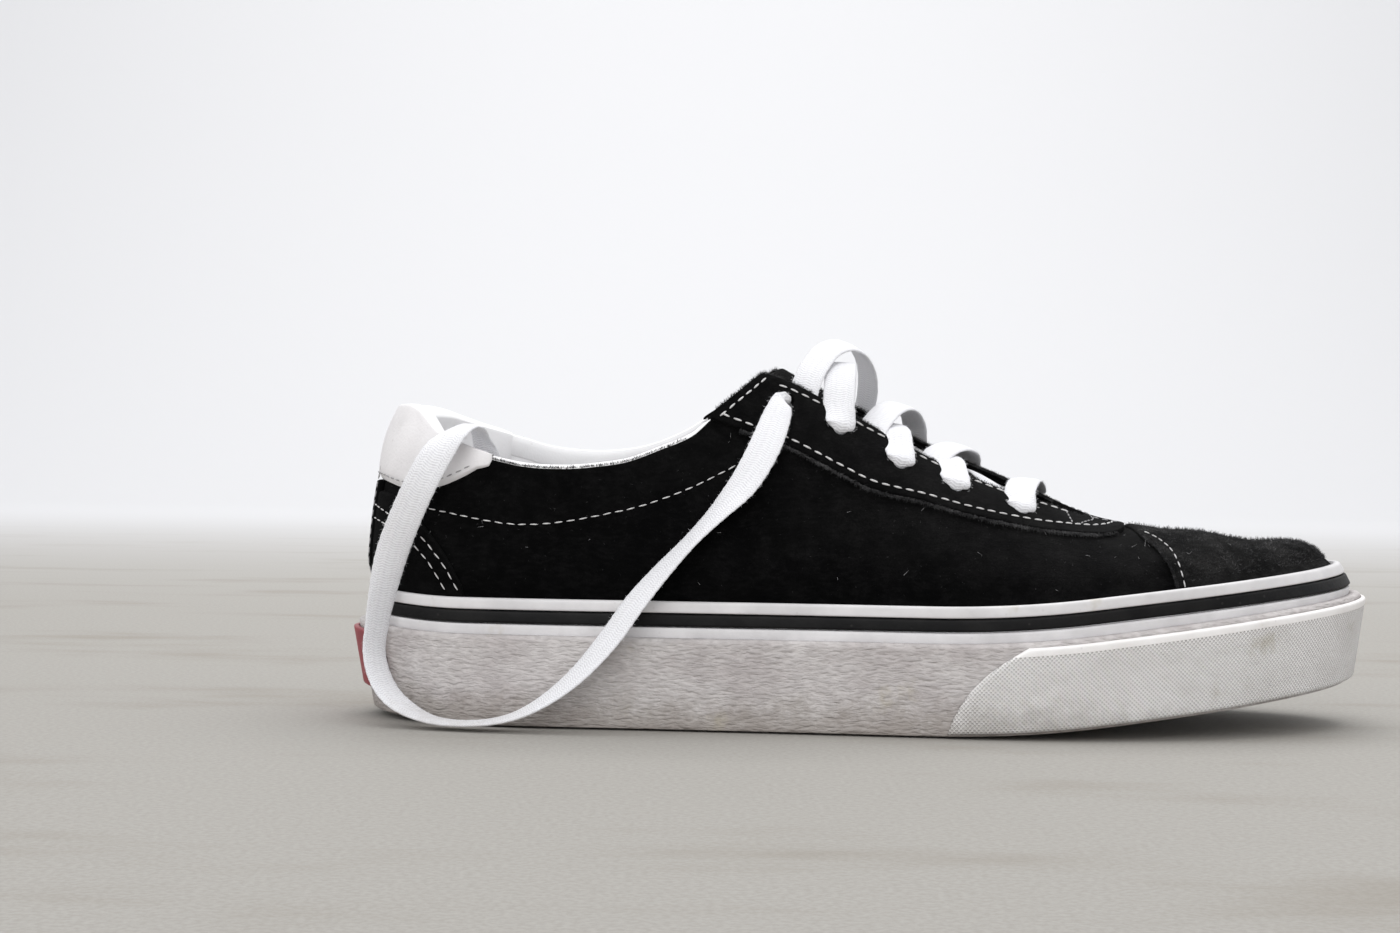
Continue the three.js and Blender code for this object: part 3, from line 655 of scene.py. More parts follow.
# %% Nap
@shader_group(Dark=(0.004, 0.004, 0.0045), Light=(0.03, 0.03, 0.032), Brushed=0.4, Fibre=2600.0)
def nap(tree, given):
    brush = placed(tree).bent(60.0, 2.0, 0.006)
    clouds = brush.noise(190.0, 4.0, 0.6)
    streaks = brush.squeezed((0.35, 0.35, 1.0)).noise(1100.0, 4.0, 0.65)
    fibre = brush.noise(given["Fibre"], 4.0, 0.7)
    catch = (clouds * 0.5 + streaks * 0.5).ramp(0.42, 0.68)
    tint = catch * given["Brushed"] * fibre.ramp(0.3, 0.7, 0.35, 1.5)
    return {"Color": tint.blend(given["Dark"], given["Light"]), "Height": fibre * 0.7 + streaks * 0.5}

# %% [markdown]
# Smooth leather and moulded rubber both carry a grain. Leather has rounded cells with fine pits;
# the rubber of the sidewall is wrinkled in short wavy lines that lie level round the shoe.


# %% Grain of leather and of rubber
@shader_group(Cells=1100.0, Pits=0.3)
def pebble(tree, given):
    place = placed(tree)
    height = 1.0 - place.cells(given["Cells"]) * 0.8 + place.noise(3200.0, 2.0) * given["Pits"]
    return {"Height": height, "Mask": place.noise(90.0, 4.0).ramp(0.35, 0.7)}


@shader_group(Lines=900.0, Wave=0.0012)
def wrinkle(tree, given):
    flat = placed(tree).bent(260.0, 3.0, given["Wave"]).squeezed((0.28, 0.28, 1.0))
    line = flat.noise(given["Lines"], 2.0, 0.5)
    return {"Height": line * 1.2 + flat.cells(1500.0) * 0.35, "Mask": line.ramp(0.35, 0.62)}

# %% [markdown]
# Two patterns follow a piece's own UV map, which is laid out in millimetres: the diamond dimples of the toe
# strip, and the weave of the lace, whose threads cross in a fine slanting rib.


# %% Dimples and weave
@shader_group(Pitch=0.85, Top=18.5)
def dimple(tree, given):
    uv = node(tree, "TexCoord", {}, "UV")
    u, v = (uv.axis(name) * math.pi / given["Pitch"] for name in "XY")
    wave = calc("ABSOLUTE", calc("SINE", u + v) * calc("SINE", u - v))
    below = uv.axis("Y").ramp(given["Top"], given["Top"] + 0.5, 1.0, 0.0)
    pit = wave.ramp(0.25, 0.85) * below
    return {"Height": 1.0 - pit, "Mask": pit}


@shader_group(Pitch=0.7, Rows=0.9)
def weave(tree, given):
    uv = node(tree, "TexCoord", {}, "UV")
    rows = uv.axis("Y") / given["Rows"]
    rib = calc("SINE", uv.axis("X") * (2 * math.pi) / given["Pitch"] + calc("PINGPONG", rows, 1.0) * 4.6)
    row = calc("ABSOLUTE", calc("COSINE", rows * math.pi))
    high = rib * 0.28 + row * 0.16 + placed(tree).noise(2400.0, 3.0, 0.7) * 1.1
    return {"Height": high, "Mask": high.ramp(0.15, 0.85)}

# %% [markdown]
# Dust, and a painted sheen of the light from above, lie on what looks up; single specks and scratches lie
# anywhere.


# %% Dust with painted sheen, and scuffs
@shader_group(Color=WHITE, Dust_Color=(0.3, 0.28, 0.26), Amount=0.2)
def dust(tree, given):
    place = placed(tree)
    # More on faces that look up: real dust, and on dark suede and rubber also painted sheen of the light from
    # above.
    facing_up = node(tree, "NewGeometry", {}, "Normal").axis("Z").ramp(-0.1, 0.95, 0.12, 1.0)
    mask = facing_up * place.noise(70.0, 5.0, 0.6).ramp(0.36, 0.66)
    mask = mask * place.noise(1900.0, 3.0, 0.7).ramp(0.35, 0.7, 0.2, 1.0)
    mask = calc("MULTIPLY", mask, given["Amount"], clamp=True)
    return {"Color": mask.blend(given["Color"], given["Dust_Color"])}


@shader_group(Color=WHITE, Scuff_Color=(0.1, 0.09, 0.09), Amount=0.5)
def scuff(tree, given):
    place = placed(tree)
    scratches = place.squeezed((0.22, 0.22, 1.0), (0.3, 0.5, 0.2)).noise(380.0, 5.0, 0.75).ramp(0.6, 0.74)
    mask = scratches * place.noise(55.0, 2.0).ramp(0.5, 0.68)
    specks = place.cells(210.0).ramp(0.05, 0.11, 0.8, 0.0)
    mask = calc("MULTIPLY", calc("MAXIMUM", mask, specks), given["Amount"], clamp=True)
    return {"Color": mask.blend(given["Color"], given["Scuff_Color"])}


# %% Material maker
def material(name, look, roughness, **fixed):
    """A material; look(tree) returns its shader's signals, and fixed values go on the shader's sockets."""
    made = bpy.data.materials.new(name)
    made.use_nodes = True
    tree = made.node_tree
    fill(tree, tree.nodes["Principled BSDF"], {"Roughness": roughness, **fixed, **look(tree)})
    return made


def clouded(name, colour, shade, roughness, scale, **fixed):
    """A small part's finish: two tones, mixed by noise that also gives a slight relief."""

    def look(tree):
        cloud = placed(tree).noise(scale, 3.0, 0.6)
        return {"Base Color": cloud.ramp(0.35, 0.65).blend(shade, colour), "Normal": cloud.relief(0.0001)}

    return material(name, look, roughness, **fixed)


print("material helpers ready")


# %% Suede
def suede_finish(name, dark, light, brushed, dusty, relief):
    def look(tree):
        coat = use(tree, nap, Dark=dark, Light=light, Brushed=brushed, Fibre=2600.0)
        # Dust on what looks up, which on this dark suede is also painted sheen of the light from above.
        with_dust_sheen = coat["Color"].under(dust, Dust_Color=(0.16, 0.155, 0.15), Amount=dusty)
        return {"Base Color": with_dust_sheen, "Normal": coat["Height"].relief(relief)}

    return material(name, look, 0.95, Sheen_Weight=0.012, Sheen_Roughness=0.4, Specular_IOR_Level=0.05)


suede = suede_finish("suede_black", (0.0012, 0.0012, 0.0013), (0.0065, 0.0063, 0.0065), 0.7, 0.05, 0.0004)
# The toe suede is lighter and more dusted: partly real dust, partly painted sheen of light on the toe's nap.
suede_toe = suede_finish("suede_toe", (0.003, 0.003, 0.0031), (0.022, 0.0215, 0.0215), 0.8, 0.16, 0.0008)
suede_edge = suede_finish("suede_raw_edge", (0.03, 0.03, 0.031), (0.16, 0.158, 0.16), 0.9, 0.3, 0.0005)
print("suede:", suede.name, suede_toe.name, suede_edge.name)


# %% White leather and lining
def leather_finish(name, clean, shade, soiled, cells, relief):
    def look(tree):
        grain = use(tree, pebble, Cells=cells, Pits=0.35)
        darkened = grain["Mask"].blend(clean, shade).under(scuff, Scuff_Color=(0.38, 0.34, 0.32), Amount=soiled)
        with_dust_sheen = darkened.under(dust, Dust_Color=(0.5, 0.46, 0.43), Amount=soiled * 0.6)
        return {"Base Color": with_dust_sheen, "Normal": grain["Height"].relief(relief)}

    return material(name, look, 0.5, Specular_IOR_Level=0.4)


white_leather = leather_finish("leather_white", (0.8, 0.78, 0.785), (0.73, 0.71, 0.715), 0.3, 1300.0, 0.00008)
# The lining is near white and lighter than the outer leather: its own white, raised further as painted light
# against the shade inside the shoe.
lining_brightened = leather_finish(
    "leather_lining", (0.92, 0.915, 0.92), (0.87, 0.86, 0.865), 0.15, 1600.0, 0.00005
)
print("leather:", white_leather.name, lining_brightened.name)


# %% Rubber
def rubber_finish(name, clean, shade, roughness, pattern, relief, soil_top, soiled, scuffed, hollows=0.2):
    def look(tree):
        base = pattern(tree)
        mottle = placed(tree, (0.6, 0.6, 1)).noise(75.0, 5.0, 0.65).ramp(0.35, 0.7)
        hollow = (base["Mask"] * hollows).blend(mottle.blend(clean, shade), tuple(c * 0.55 for c in shade))
        darkened = hollow.under(
            soil, Soil_Color=(0.2, 0.165, 0.13), Top=soil_top, Amount=soiled, Blots=160.0, Spread=0.3
        )
        stains = placed(tree).noise(62.0, 4.0, 0.6).ramp(0.6, 0.74, 0.0, 0.5)
        stained = stains.blend(darkened, (0.42, 0.37, 0.26))
        marked = stained.under(scuff, Scuff_Color=(0.17, 0.15, 0.14), Amount=scuffed)
        return {"Base Color": marked, "Normal": base["Height"].relief(relief)}

    return material(name, look, roughness, Specular_IOR_Level=0.4)


def diamonds(tree):
    """Raised diamonds under the sole, worn away in broad patches."""
    x, y = (placed(tree).axis(name) for name in "XY")
    waves = calc("SINE", (x + y) * 640.0) * calc("SINE", (x - y) * 640.0)
    worn = placed(tree).noise(28.0, 3.0).ramp(0.42, 0.62)
    grooves = calc("ABSOLUTE", waves).ramp(0.28, 0.06) * worn
    return {"Mask": grooves, "Height": 1.0 - grooves}


wrinkled = partial(use, group=wrinkle, Lines=1150.0, Wave=0.0014)
smoothed = partial(use, group=pebble, Cells=500.0, Pits=0.6)
dimpled = partial(use, group=dimple, Pitch=1.2, Top=21.6)
rubber = rubber_finish(
    "rubber_grained", (0.6, 0.57, 0.56), (0.48, 0.442, 0.436), 0.7, wrinkled, 0.0006, 0.014, 0.5, 0.25, 0.3
)
rubber_smooth = rubber_finish(
    "rubber_smooth", (0.72, 0.705, 0.71), (0.64, 0.625, 0.63), 0.45, smoothed, 0.00006, 0.03, 0.15, 0.12
)
rubber_toe = rubber_finish(
    "rubber_toe", (0.88, 0.86, 0.85), (0.78, 0.755, 0.74), 0.6, dimpled, 0.0005, 0.012, 0.4, 0.2, 0.4
)
rubber_tread = rubber_finish(
    "rubber_tread", (0.34, 0.3, 0.27), (0.26, 0.23, 0.2), 0.85, diamonds, 0.0012, 0.01, 0.6, 0.5, 0.6
)
print("rubber:", rubber.name, rubber_smooth.name, rubber_toe.name, rubber_tread.name)


# %% Black stripe and red tab
def coloured_rubber(name, colour, worn, dusty, shine=0.4):
    def look(tree):
        grain = use(tree, pebble, Cells=700.0, Pits=0.5)
        with_dust_sheen = grain["Mask"].blend(colour, worn).under(dust, Dust_Color=(0.35, 0.32, 0.3), Amount=dusty)
        marked = with_dust_sheen.under(scuff, Scuff_Color=(0.3, 0.27, 0.26), Amount=dusty)
        return {"Base Color": marked, "Normal": grain["Height"].relief(0.00006)}

    return material(name, look, 0.5, Specular_IOR_Level=shine)


rubber_black = coloured_rubber("rubber_black", (0.004, 0.004, 0.0045), (0.009, 0.0088, 0.009), 0.06, 0.15)
rubber_red = coloured_rubber("rubber_red", (0.3, 0.022, 0.035), (0.22, 0.03, 0.04), 0.35)
print("coloured rubber:", rubber_black.name, rubber_red.name)


# %% Lace, thread and textile
def woven(name, colour, shade, pitch, rows, relief):
    def look(tree):
        threads = use(tree, weave, Pitch=pitch, Rows=rows)
        darkened = threads["Mask"].blend(shade, colour).under(
            soil, Soil_Color=(0.42, 0.38, 0.34), Top=0.012, Amount=0.35, Blots=300.0, Spread=0.2
        )
        return {"Base Color": darkened, "Normal": threads["Height"].relief(relief)}

    return material(name, look, 0.85, Sheen_Weight=0.25, Sheen_Roughness=0.4, Specular_IOR_Level=0.2)


cotton = woven("cotton_lace", (0.86, 0.86, 0.88), (0.68, 0.67, 0.7), 0.75, 0.95, 0.00016)
textile = woven("lining_textile", (0.56, 0.56, 0.57), (0.36, 0.36, 0.37), 1.0, 1.0, 0.0002)
thread = clouded("thread_white", (0.7, 0.69, 0.68), (0.46, 0.45, 0.45), 0.7, 1800.0, Sheen_Weight=0.2)
thread_grey = clouded("thread_grey", (0.4, 0.395, 0.4), (0.25, 0.245, 0.25), 0.75, 1800.0, Sheen_Weight=0.2)
clear_tip = clouded("clear_tip", (0.78, 0.78, 0.79), (0.66, 0.65, 0.64), 0.2, 500.0, Coat_Weight=0.4)
print("materials:", len(bpy.data.materials))

# %% [markdown]
# ## Sole
# The wall of a vulcanised sole is built of strips of rubber, wrapped one over the other round the shoe.


# %% Strips of the sole
ROUND = np.linspace(0, 1, 481)
STRIP_UV = (760, 2)


def strip(name, node_name, section, material, scaled=True):
    """A closed ring of rubber in place of a solid; its section is a closed list of (outwards, height)."""
    section = np.array(section + section[:1], float)
    bm = bmesh.new()

    def place(p, k, i, j):
        high = section[j, 1]
        return wall_point(p, section[j, 0], at_toe(p, high) if scaled else high)

    grid_on(bm, ROUND, np.arange(len(section)), place, STRIP_UV)
    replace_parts(finish_mesh(name, bm, material), node_name)


sidewall_section = [(-0.4, FLOOR_CLEAR), (-0.1, 0.8), (0, 1.6)] + [(0, h) for h in np.linspace(3, 23.4, 14)]
sidewall_section += [(0, 24.4), (-0.25, 25.1), (-0.7, 25.45), (-1.2, 25.6), (-SIDEWALL_THICK, 25.6)]
strip("sidewall_skin", "sidewall", sidewall_section + [(-SIDEWALL_THICK, FLOOR_CLEAR)], rubber, scaled=False)
strip("tape_skin", "foxing_tape", [
    (TAPE_OUT, FLOOR_CLEAR), (TAPE_OUT, 27.6), (TAPE_OUT - 0.15, 28.2), (TAPE_OUT - 0.5, 28.4),
    (TAPE_IN, 28.4), (TAPE_IN, FLOOR_CLEAR),
], rubber_smooth)
strip("pinstripe_skin", "pinstripe", [
    (TAPE_IN, STRIPE_LOW), (TAPE_IN, STRIPE_HIGH), (TAPE_OUT - 0.4, STRIPE_HIGH), (TAPE_OUT - 0.05, 31.8),
    (TAPE_OUT, 31.4), (TAPE_OUT, 29.4), (TAPE_OUT - 0.05, 29), (TAPE_OUT - 0.4, STRIPE_LOW),
], rubber_black)
strip("foxing_skin", "foxing_top", [
    (TAPE_IN, 32.4), (TAPE_IN, FOXING_HEIGHT), (TAPE_OUT - 0.7, FOXING_HEIGHT), (TAPE_OUT - 0.35, 35.45),
    (TAPE_OUT - 0.1, 35.2), (TAPE_OUT, 34.8), (TAPE_OUT, 32.9), (TAPE_OUT - 0.05, 32.6),
    (TAPE_OUT - 0.4, 32.4),
], rubber_smooth)

# %% Toe strip, joint and heel tab
bumper_end = through([[z, x] for x, z in BUMPER_ENDS])


def wall_panel(name, columns, rows, low, high, share_at, thick, edges, material, length=100):
    """A strip laid over the wall between two heights; share_at gives its first and last share."""

    def place(outside, u, w, i, j):
        height = low + (high - low) * w
        start, end = share_at(height)
        grown = GAP + (thick * rounded(u, edges[0]) * rounded(w, edges[1]) if outside else 0)
        return wall_point(start + (end - start) * u, grown, height)

    across, up = dense_ends(columns, edges[0]), dense_ends(rows, edges[1])
    return two_skins(name, across, up, place, material, (length, high - low))


bumper_table = np.linspace(0, 30, 61)
bumper_x = bumper_end(bumper_table + sole_bottom(bumper_end(bumper_table)))
bumper_share, _ = halve(lambda p: wall_point(p, GAP, bumper_table)[..., 0] > bumper_x, 0.01, 0.4, 30)


def bumper_shares(height):
    end = np.interp(height, bumper_table, bumper_share)
    return -end, end


def tab_shares(height):
    def inside(share):
        return np.abs(wall_point(share, GAP, height)[..., 1]) < TAB_WIDE / 2

    return [halve(inside, 0.5, 0.5 + side * 0.12, 28)[0] for side in (-1, 1)]


JOINT_SHARES, BUMPER_MIDDLE = (0.573, 0.59), 12.0
bumper_line = wall_point(np.linspace(*bumper_shares(BUMPER_MIDDLE), 400), 1.6, BUMPER_MIDDLE)
bumper_length = float(way_walked(bumper_line)[-1])
print("bumper length", round(bumper_length, 1), "mm")
bumper = wall_panel(
    "bumper_skin", 260, 24, 1.2, 24.2, bumper_shares, BUMPER_THICK, (0.004, 0.04), rubber_toe,
    bumper_length,
)
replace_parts(bumper, "toe_bumper")
wall_panel(
    "tape_joint", 24, 30, 0.9, 27.4, lambda height: JOINT_SHARES, 0.45, (0.06, 0.02), rubber,
    12,
)
tab = wall_panel(
    "tab_skin", 60, 16, TAB_LOW, TAB_HIGH, tab_shares, TAB_THICK, (0.015, 0.04), rubber_red
)
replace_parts(tab, "heel_tab")

# %% [markdown]
# The toe strip's dimples follow its UV map, so the map is laid out anew: the way walked along the strip,
# and the height over the sole.

# %% Map of the toe strip
bumper_line = bumper_line[:, :2]
walked = way_walked(bumper_line)
way = unit(np.gradient(bumper_line, axis=0))
spots = np.array([v.co[:] for v in bumper.data.vertices]) / MM
near = np.argmin(((spots[:, None, :2] - bumper_line) ** 2).sum(-1), axis=1)
run = walked[near] + ((spots[:, :2] - bumper_line[near]) * way[near]).sum(1)
rise = spots[:, 2] - sole_bottom(spots[:, 0])
for loop, texel in zip(bumper.data.loops, bumper.data.uv_layers.active.data):
    texel.uv = (run[loop.vertex_index], rise[loop.vertex_index])
print("dimples over", round(float(run.max() - run.min())), "mm")

# %% [markdown]
# ## Upper
# The quarters are one wall of suede round the whole foot, open at the top. The panels lie over it.

# %% Quarters
upper_share = np.concatenate([np.linspace(0, 0.5, 321), np.linspace(0.5, 1, 321)[1:]])


def shell(name, tops, foot, rows, low, high, material, edge):
    """A closed wall round the whole last between two heights, up to a top level for each column."""
    open_top = tops < 0.9995

    def place(outside, u, w, i, j):
        v = foot[i] + (tops[i] - foot[i]) * w
        full = np.where(open_top[i] | (w < 0.5), rounded(w, edge), 1.0) if outside else 0
        height = low + (high - low) * full
        at, twin = skin(upper_share[i], v, height), skin(1 - upper_share[i], v, height)
        joined = ~open_top[i] & (w > 0.9999)
        return np.where(joined[:, None], (at + twin) / 2, at)

    return two_skins(name, upper_share, dense_ends(rows, edge), place, material)


upper_top = first_level(upper_share, lambda at: in_throat(at) | above_rim(at, -1.1))
quarters = shell("quarters", upper_top, foxing_level(upper_share), 44, -1.1, 0, suede, 0.02)
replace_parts(quarters, "upper")


# %% Eyestays
def panel(name, node_name, columns, rows, spot, thick, edges):
    """A suede panel over the last, in place of a solid; spot gives (p, v) for two shares."""

    def place(outside, u, w, i, j):
        full = rounded(u, edges[0]) * rounded(w, edges[1]) if outside else 0
        return skin(*spot(u, w), thick * full)

    across, up = dense_ends(columns, edges[0]), dense_ends(rows, edges[1])
    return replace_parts(two_skins(name, across, up, place, suede), node_name)


def between(p, low, high):
    """The spots of a panel whose columns lie at shares p, each from one level to another."""
    order = np.linspace(0, 1, len(p))

    def spot(u, w):
        return np.interp(u, order, p), np.interp(u, order, low) * (1 - w) + np.interp(u, order, high) * w

    return spot


def eyestay(name, side, node_name):
    """The panel of one row of holes, from its tip at the collar to its front."""

    def edges(p):
        low = first_level(p, lambda at: at[..., 2] > eyestay_lower(at[..., 0]), 0.2)
        return low, first_level(p, in_opening, 0.2)

    coarse = np.linspace(0.07, 0.36, 500)
    low, high = edges(on_side(coarse, side))
    there = coarse[high - low > 0.002]
    p = on_side(np.linspace(there.min(), there.max(), 161), side)
    low, high = edges(p)
    return panel(name, node_name, 200, 20, between(p, low, np.maximum(high, low)), 1.5, (0.006, 0.04))


eyestay_outer = eyestay("eyestay_outer_skin", -1, "eyestay_outer")
eyestay_inner = eyestay("eyestay_inner_skin", 1, "eyestay_inner")

# %% Toe panel, counters and back stay
vamp_levels = np.linspace(0.02, 1, 200)
vamp_foot_share = np.linspace(0, 1, 400)
vamp_foot = foxing_level(vamp_foot_share)


def vamp_end(side):
    """The share at which the toe panel ends at its seam, for each level."""

    def before_seam(share):
        at = last_point(on_side(share, side), vamp_levels)
        return at[..., 0] > vamp_seam(at[..., 2]) - 2.2

    return halve(before_seam, 0.01, 0.3, 26)[0]


vamp_outer, vamp_inner = vamp_end(-1), vamp_end(1)


def place_toe(outside, u, w, i, j):
    """The suede over the toes, from the seam on one side over the ridge to the seam on the other."""
    inner, reach = w > 0, np.abs(w)

    def share_at(level):
        ends = [np.interp(level, vamp_levels, table) for table in (vamp_inner, vamp_outer)]
        end = np.where(inner, *ends)
        return np.where(inner, 1 - u * end, u * end)

    v = 1 - reach * (1 - np.interp(share_at(1 - reach * 0.8), vamp_foot_share, vamp_foot))
    share = share_at(v)
    height = 0.02 + (1.5 * dome(np.minimum((1 - u) / 0.015, (1 - reach) / 0.03)) if outside else 0)
    at, twin = skin(share, v, height), skin(1 - share, v, height)
    return np.where((reach < 1e-6)[:, None], (at + twin) / 2, at)


toe_along = np.concatenate([np.linspace(0, 0.985, 90), [0.991, 0.996, 0.999, 1]])
toe_down = np.concatenate([np.linspace(0, 0.97, 60), [0.985, 0.995, 1]])
toe_round = np.concatenate([-toe_down[::-1], toe_down[1:]])
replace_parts(two_skins("toe_panel", toe_along, toe_round, place_toe, suede_toe), "toe_vamp")


def share_at_y(level, y):
    """The share near the heel's middle at which the last's skin has this y."""
    return halve(lambda share: last_point(share, level)[..., 1] < y, 0.36, 0.64, 28)[0]


def counter(name, side, node_name):
    """Half of the heel counter, between the back stay and its curved front edge."""
    stay_edge = share_at_y(np.array([0.3]), side * (BACK_STAY_HALF + GAP))[0]
    p = np.linspace(stay_edge, on_side(0.37, side), 161)

    def over(at):
        x, z = at[..., 0], at[..., 2]
        return (z > counter_top(x)) | (x > COUNTER_FRONT) | (z > patch_lower(x) - GAP)

    top, foot = first_level(p, over), foxing_level(p)
    there = top - foot > 0.002
    panel(name, node_name, 64, 24, between(p[there], foot[there], top[there]), 1.5, (0.02, 0.03))


counter("counter_outer_skin", -1, "counter_outer")
counter("counter_inner_skin", 1, "counter_inner")
heel_middle = np.array([0.5])
stay_levels = np.linspace(0.02, 0.8, 120)
stay_left, stay_right = (share_at_y(stay_levels, side * BACK_STAY_HALF) for side in (-1, 1))
stay_top = first_level(heel_middle, lambda at: at[..., 2] > patch_lower(at[..., 0]) - GAP)[0]
stay_foot = foxing_level(heel_middle)[0]


def stay_spot(u, w):
    v = stay_foot + (stay_top - stay_foot) * w
    return np.interp(v, stay_levels, stay_left) * (1 - u) + np.interp(v, stay_levels, stay_right) * u, v


panel("back_stay_skin", "back_stay", 20, 30, stay_spot, 1.7, (0.07, 0.03))

# %% [markdown]
# The collar is padded leather. Its section goes up the outside, rolls over the rim and comes down inside,
# where foam makes it full, and its back lies against the last. White leather lies outside, the lining's
# inside.

# %% Heel patch
patch_p = np.linspace(0.34, 0.66, 400)
patch_low = first_level(patch_p, lambda at: at[..., 2] > patch_lower(at[..., 0]))
patch_high = first_level(patch_p, above_rim)
there = patch_high - patch_low > 0.003
patch_p, patch_low, patch_high = patch_p[there], patch_low[there], patch_high[there]
UP, OVER, DOWN, BACK = 16, 16, 14, 6  # rows of the section
THIN_PAD, THIN_ROLL, PUFF = 2.6, 0.5, 0.9


def place_collar(u, w, i, k):
    order = np.linspace(0, 1, len(patch_p))
    p, low, high = (np.interp(u, order, table) for table in (patch_p, patch_low, patch_high))
    from_end = np.minimum(u, 1 - u)
    ends, slim = np.clip(from_end / 0.02, 0, 1) ** 0.5, fade(from_end / 0.3)
    pad = THIN_PAD + (COLLAR_PAD - THIN_PAD) * slim
    out_height = GAP + OVERLAY * ends

    share = np.clip(k / (UP - 1), 0, 1)
    puff = PUFF * np.sin(np.pi * share) * ends * (0.35 + 0.65 * slim)
    rising = skin(p, low + (high - low) * share, GAP + (out_height - GAP + puff) * dome(share / 0.12))

    rim, top_normal = skin(p, high), last_normal(p, high)
    climb = way_up(p, high)
    turn = np.pi * (k - UP + 1) / (OVER + 1)
    out_by = (out_height - pad) / 2 + (out_height + pad) / 2 * np.cos(turn)
    seam = 1 - 0.3 * np.exp(-(((turn - np.pi * 0.5) / 0.13) ** 2))
    up_by = (THIN_ROLL + (COLLAR_ROLL - THIN_ROLL) * slim) * ends * seam * np.clip(np.sin(turn), 0, 1) ** 1.3
    rolling = rim + top_normal * out_by[:, None] + climb * up_by[:, None]

    fall = np.clip((k - UP - OVER) / (DOWN - 1), 0, 1)
    inside = -pad + (pad - 2.4) * fade((fall - 0.6) / 0.4) - 0.6 * np.sin(np.pi * fall) * ends
    falling = skin(p, high - (high - low) * fall, inside)

    share = (k - UP - OVER - DOWN) / (BACK - 1)
    up_inside = low + (high - low) * share * 2 * 0.96
    down_outside = high - (high - low) * 0.96 * (share * 2 - 1) * 0.98
    level = np.clip(np.where(share < 0.5, up_inside, down_outside), low, high)
    behind = skin(p, level, np.where(share < 0.5, -2.4, 0.1))
    parts = [k < UP, k < UP + OVER, k < UP + OVER + DOWN]
    return np.select([part[:, None] for part in parts], [rising, rolling, falling], behind)


collar_columns = [0, 0.004, 0.012, 0.024, *np.linspace(0.04, 0.96, 130), 0.976, 0.988, 0.996, 1]
collar = bmesh.new()
grid_on(collar, collar_columns, np.arange(UP + OVER + DOWN + BACK), place_collar)
heel_collar = finish_mesh("heel_collar", collar, white_leather)
# Faces turned inwards take the lining, whose extra lightness is painted light inside the shoe.
heel_collar.data.materials.append(lining_brightened)
for face in heel_collar.data.polygons:
    outward = Vector((face.center.x + 0.1, face.center.y, 0)).normalized()
    face.material_index = 1 if face.normal.dot(outward) < -0.12 else 0
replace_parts(heel_collar, "heel_patch")

# %% Lining, tongue and insole
lining_top = first_level(upper_share, lambda at: in_throat(at, 0.3) | above_rim(at, -0.4))
lining_foot = np.full_like(upper_share, 0.01)
# The lining shell's extra lightness is painted light inside the shoe.
lining = shell("lining", lining_top, lining_foot, 36, -2.2, -1.12, lining_brightened, 0.015)

TONGUE_PLAN = [
    [70, 5, 5], [66, -9, 17], [56, -17, 23], [30, -25, 30], [-10, -29, 33], [-38, -27, 30], [-46, -20, 22],
]
TONGUE_BACK = [[-60, 77], [-48, 86], [-29.5, 99], [-22, 104], [0, 130]]  # its end, seen from the side
TONGUE_FRONT, TONGUE_FACE, TONGUE_EDGE = 69.5, -WALL - GAP - TONGUE_SUNK, 1.6
tongue_left = through([[x, a] for x, a, _ in TONGUE_PLAN])
tongue_right = through([[x, b] for x, _, b in TONGUE_PLAN])
tongue_along, tongue_across = dense_ends(70, 0.015), dense_ends(30, 0.03)


def tongue_at(x, w, height):
    p, v = skin_at(x, tongue_left(x) + (tongue_right(x) - tongue_left(x)) * w)
    return last_point(p, v) + last_normal(p, np.minimum(v, 0.995)) * np.reshape(height, (-1, 1))


def past_end(x):
    at = tongue_at(x, tongue_across, TONGUE_FACE)
    return at[:, 2] > np.interp(at[:, 0], *np.array(TONGUE_BACK, float).T)


tongue_ends, _ = halve(past_end, np.full_like(tongue_across, -46.0), np.full_like(tongue_across, 0.0), 14)


def place_tongue(outside, u, w, i, j):
    x = TONGUE_FRONT + (tongue_ends[j] - TONGUE_FRONT) * u
    thin = TONGUE_EDGE * (1 - rounded(u, 0.015) * rounded(w, 0.03))
    return tongue_at(x, w, TONGUE_FACE - thin if outside else TONGUE_FACE - TONGUE_THICK + thin)


tongue_pad = two_skins("tongue_pad", tongue_along, tongue_across, place_tongue, suede, merge=0.02)
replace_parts(tongue_pad, "tongue")

INSOLE_EDGE = TAPE_IN - TUCK - WALL - 1.6
INSOLE_LOW = SOLE_SLAB + GAP
INSOLE_HIGH = INSOLE_LOW + INSOLE_THICK


def place_insole(outside, u, w, i, j):
    """A flat slab inside the wall, from toe to heel, its top dished by a millimetre."""
    height, sag = (INSOLE_HIGH, 1.0) if outside else (INSOLE_LOW, 0)
    outer, inner = wall_point(u, INSOLE_EDGE, height), wall_point(1 - u, INSOLE_EDGE, height)
    at = outer + (inner - outer) * w[:, None]
    at[:, 2] = sole_bottom(at[:, 0]) + height - sag * (1 - (2 * w - 1) ** 4) * np.sin(np.pi * u * 2) ** 0.5
    return at


def place_insole_side(u, w, i, j):
    return wall_point(u, INSOLE_EDGE + 0.5 * np.sin(np.pi * w), INSOLE_LOW + (INSOLE_HIGH - INSOLE_LOW) * w)


insole_along, insole = np.linspace(0, 0.5, 150), bmesh.new()
for outside in (True, False):
    grid_on(insole, insole_along, np.linspace(0, 1, 40), partial(place_insole, outside))
grid_on(insole, np.concatenate([insole_along, 1 - insole_along[-2::-1]]), [0, 0.5, 1], place_insole_side)
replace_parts(finish_mesh("insole_pad", insole, textile), "insole")

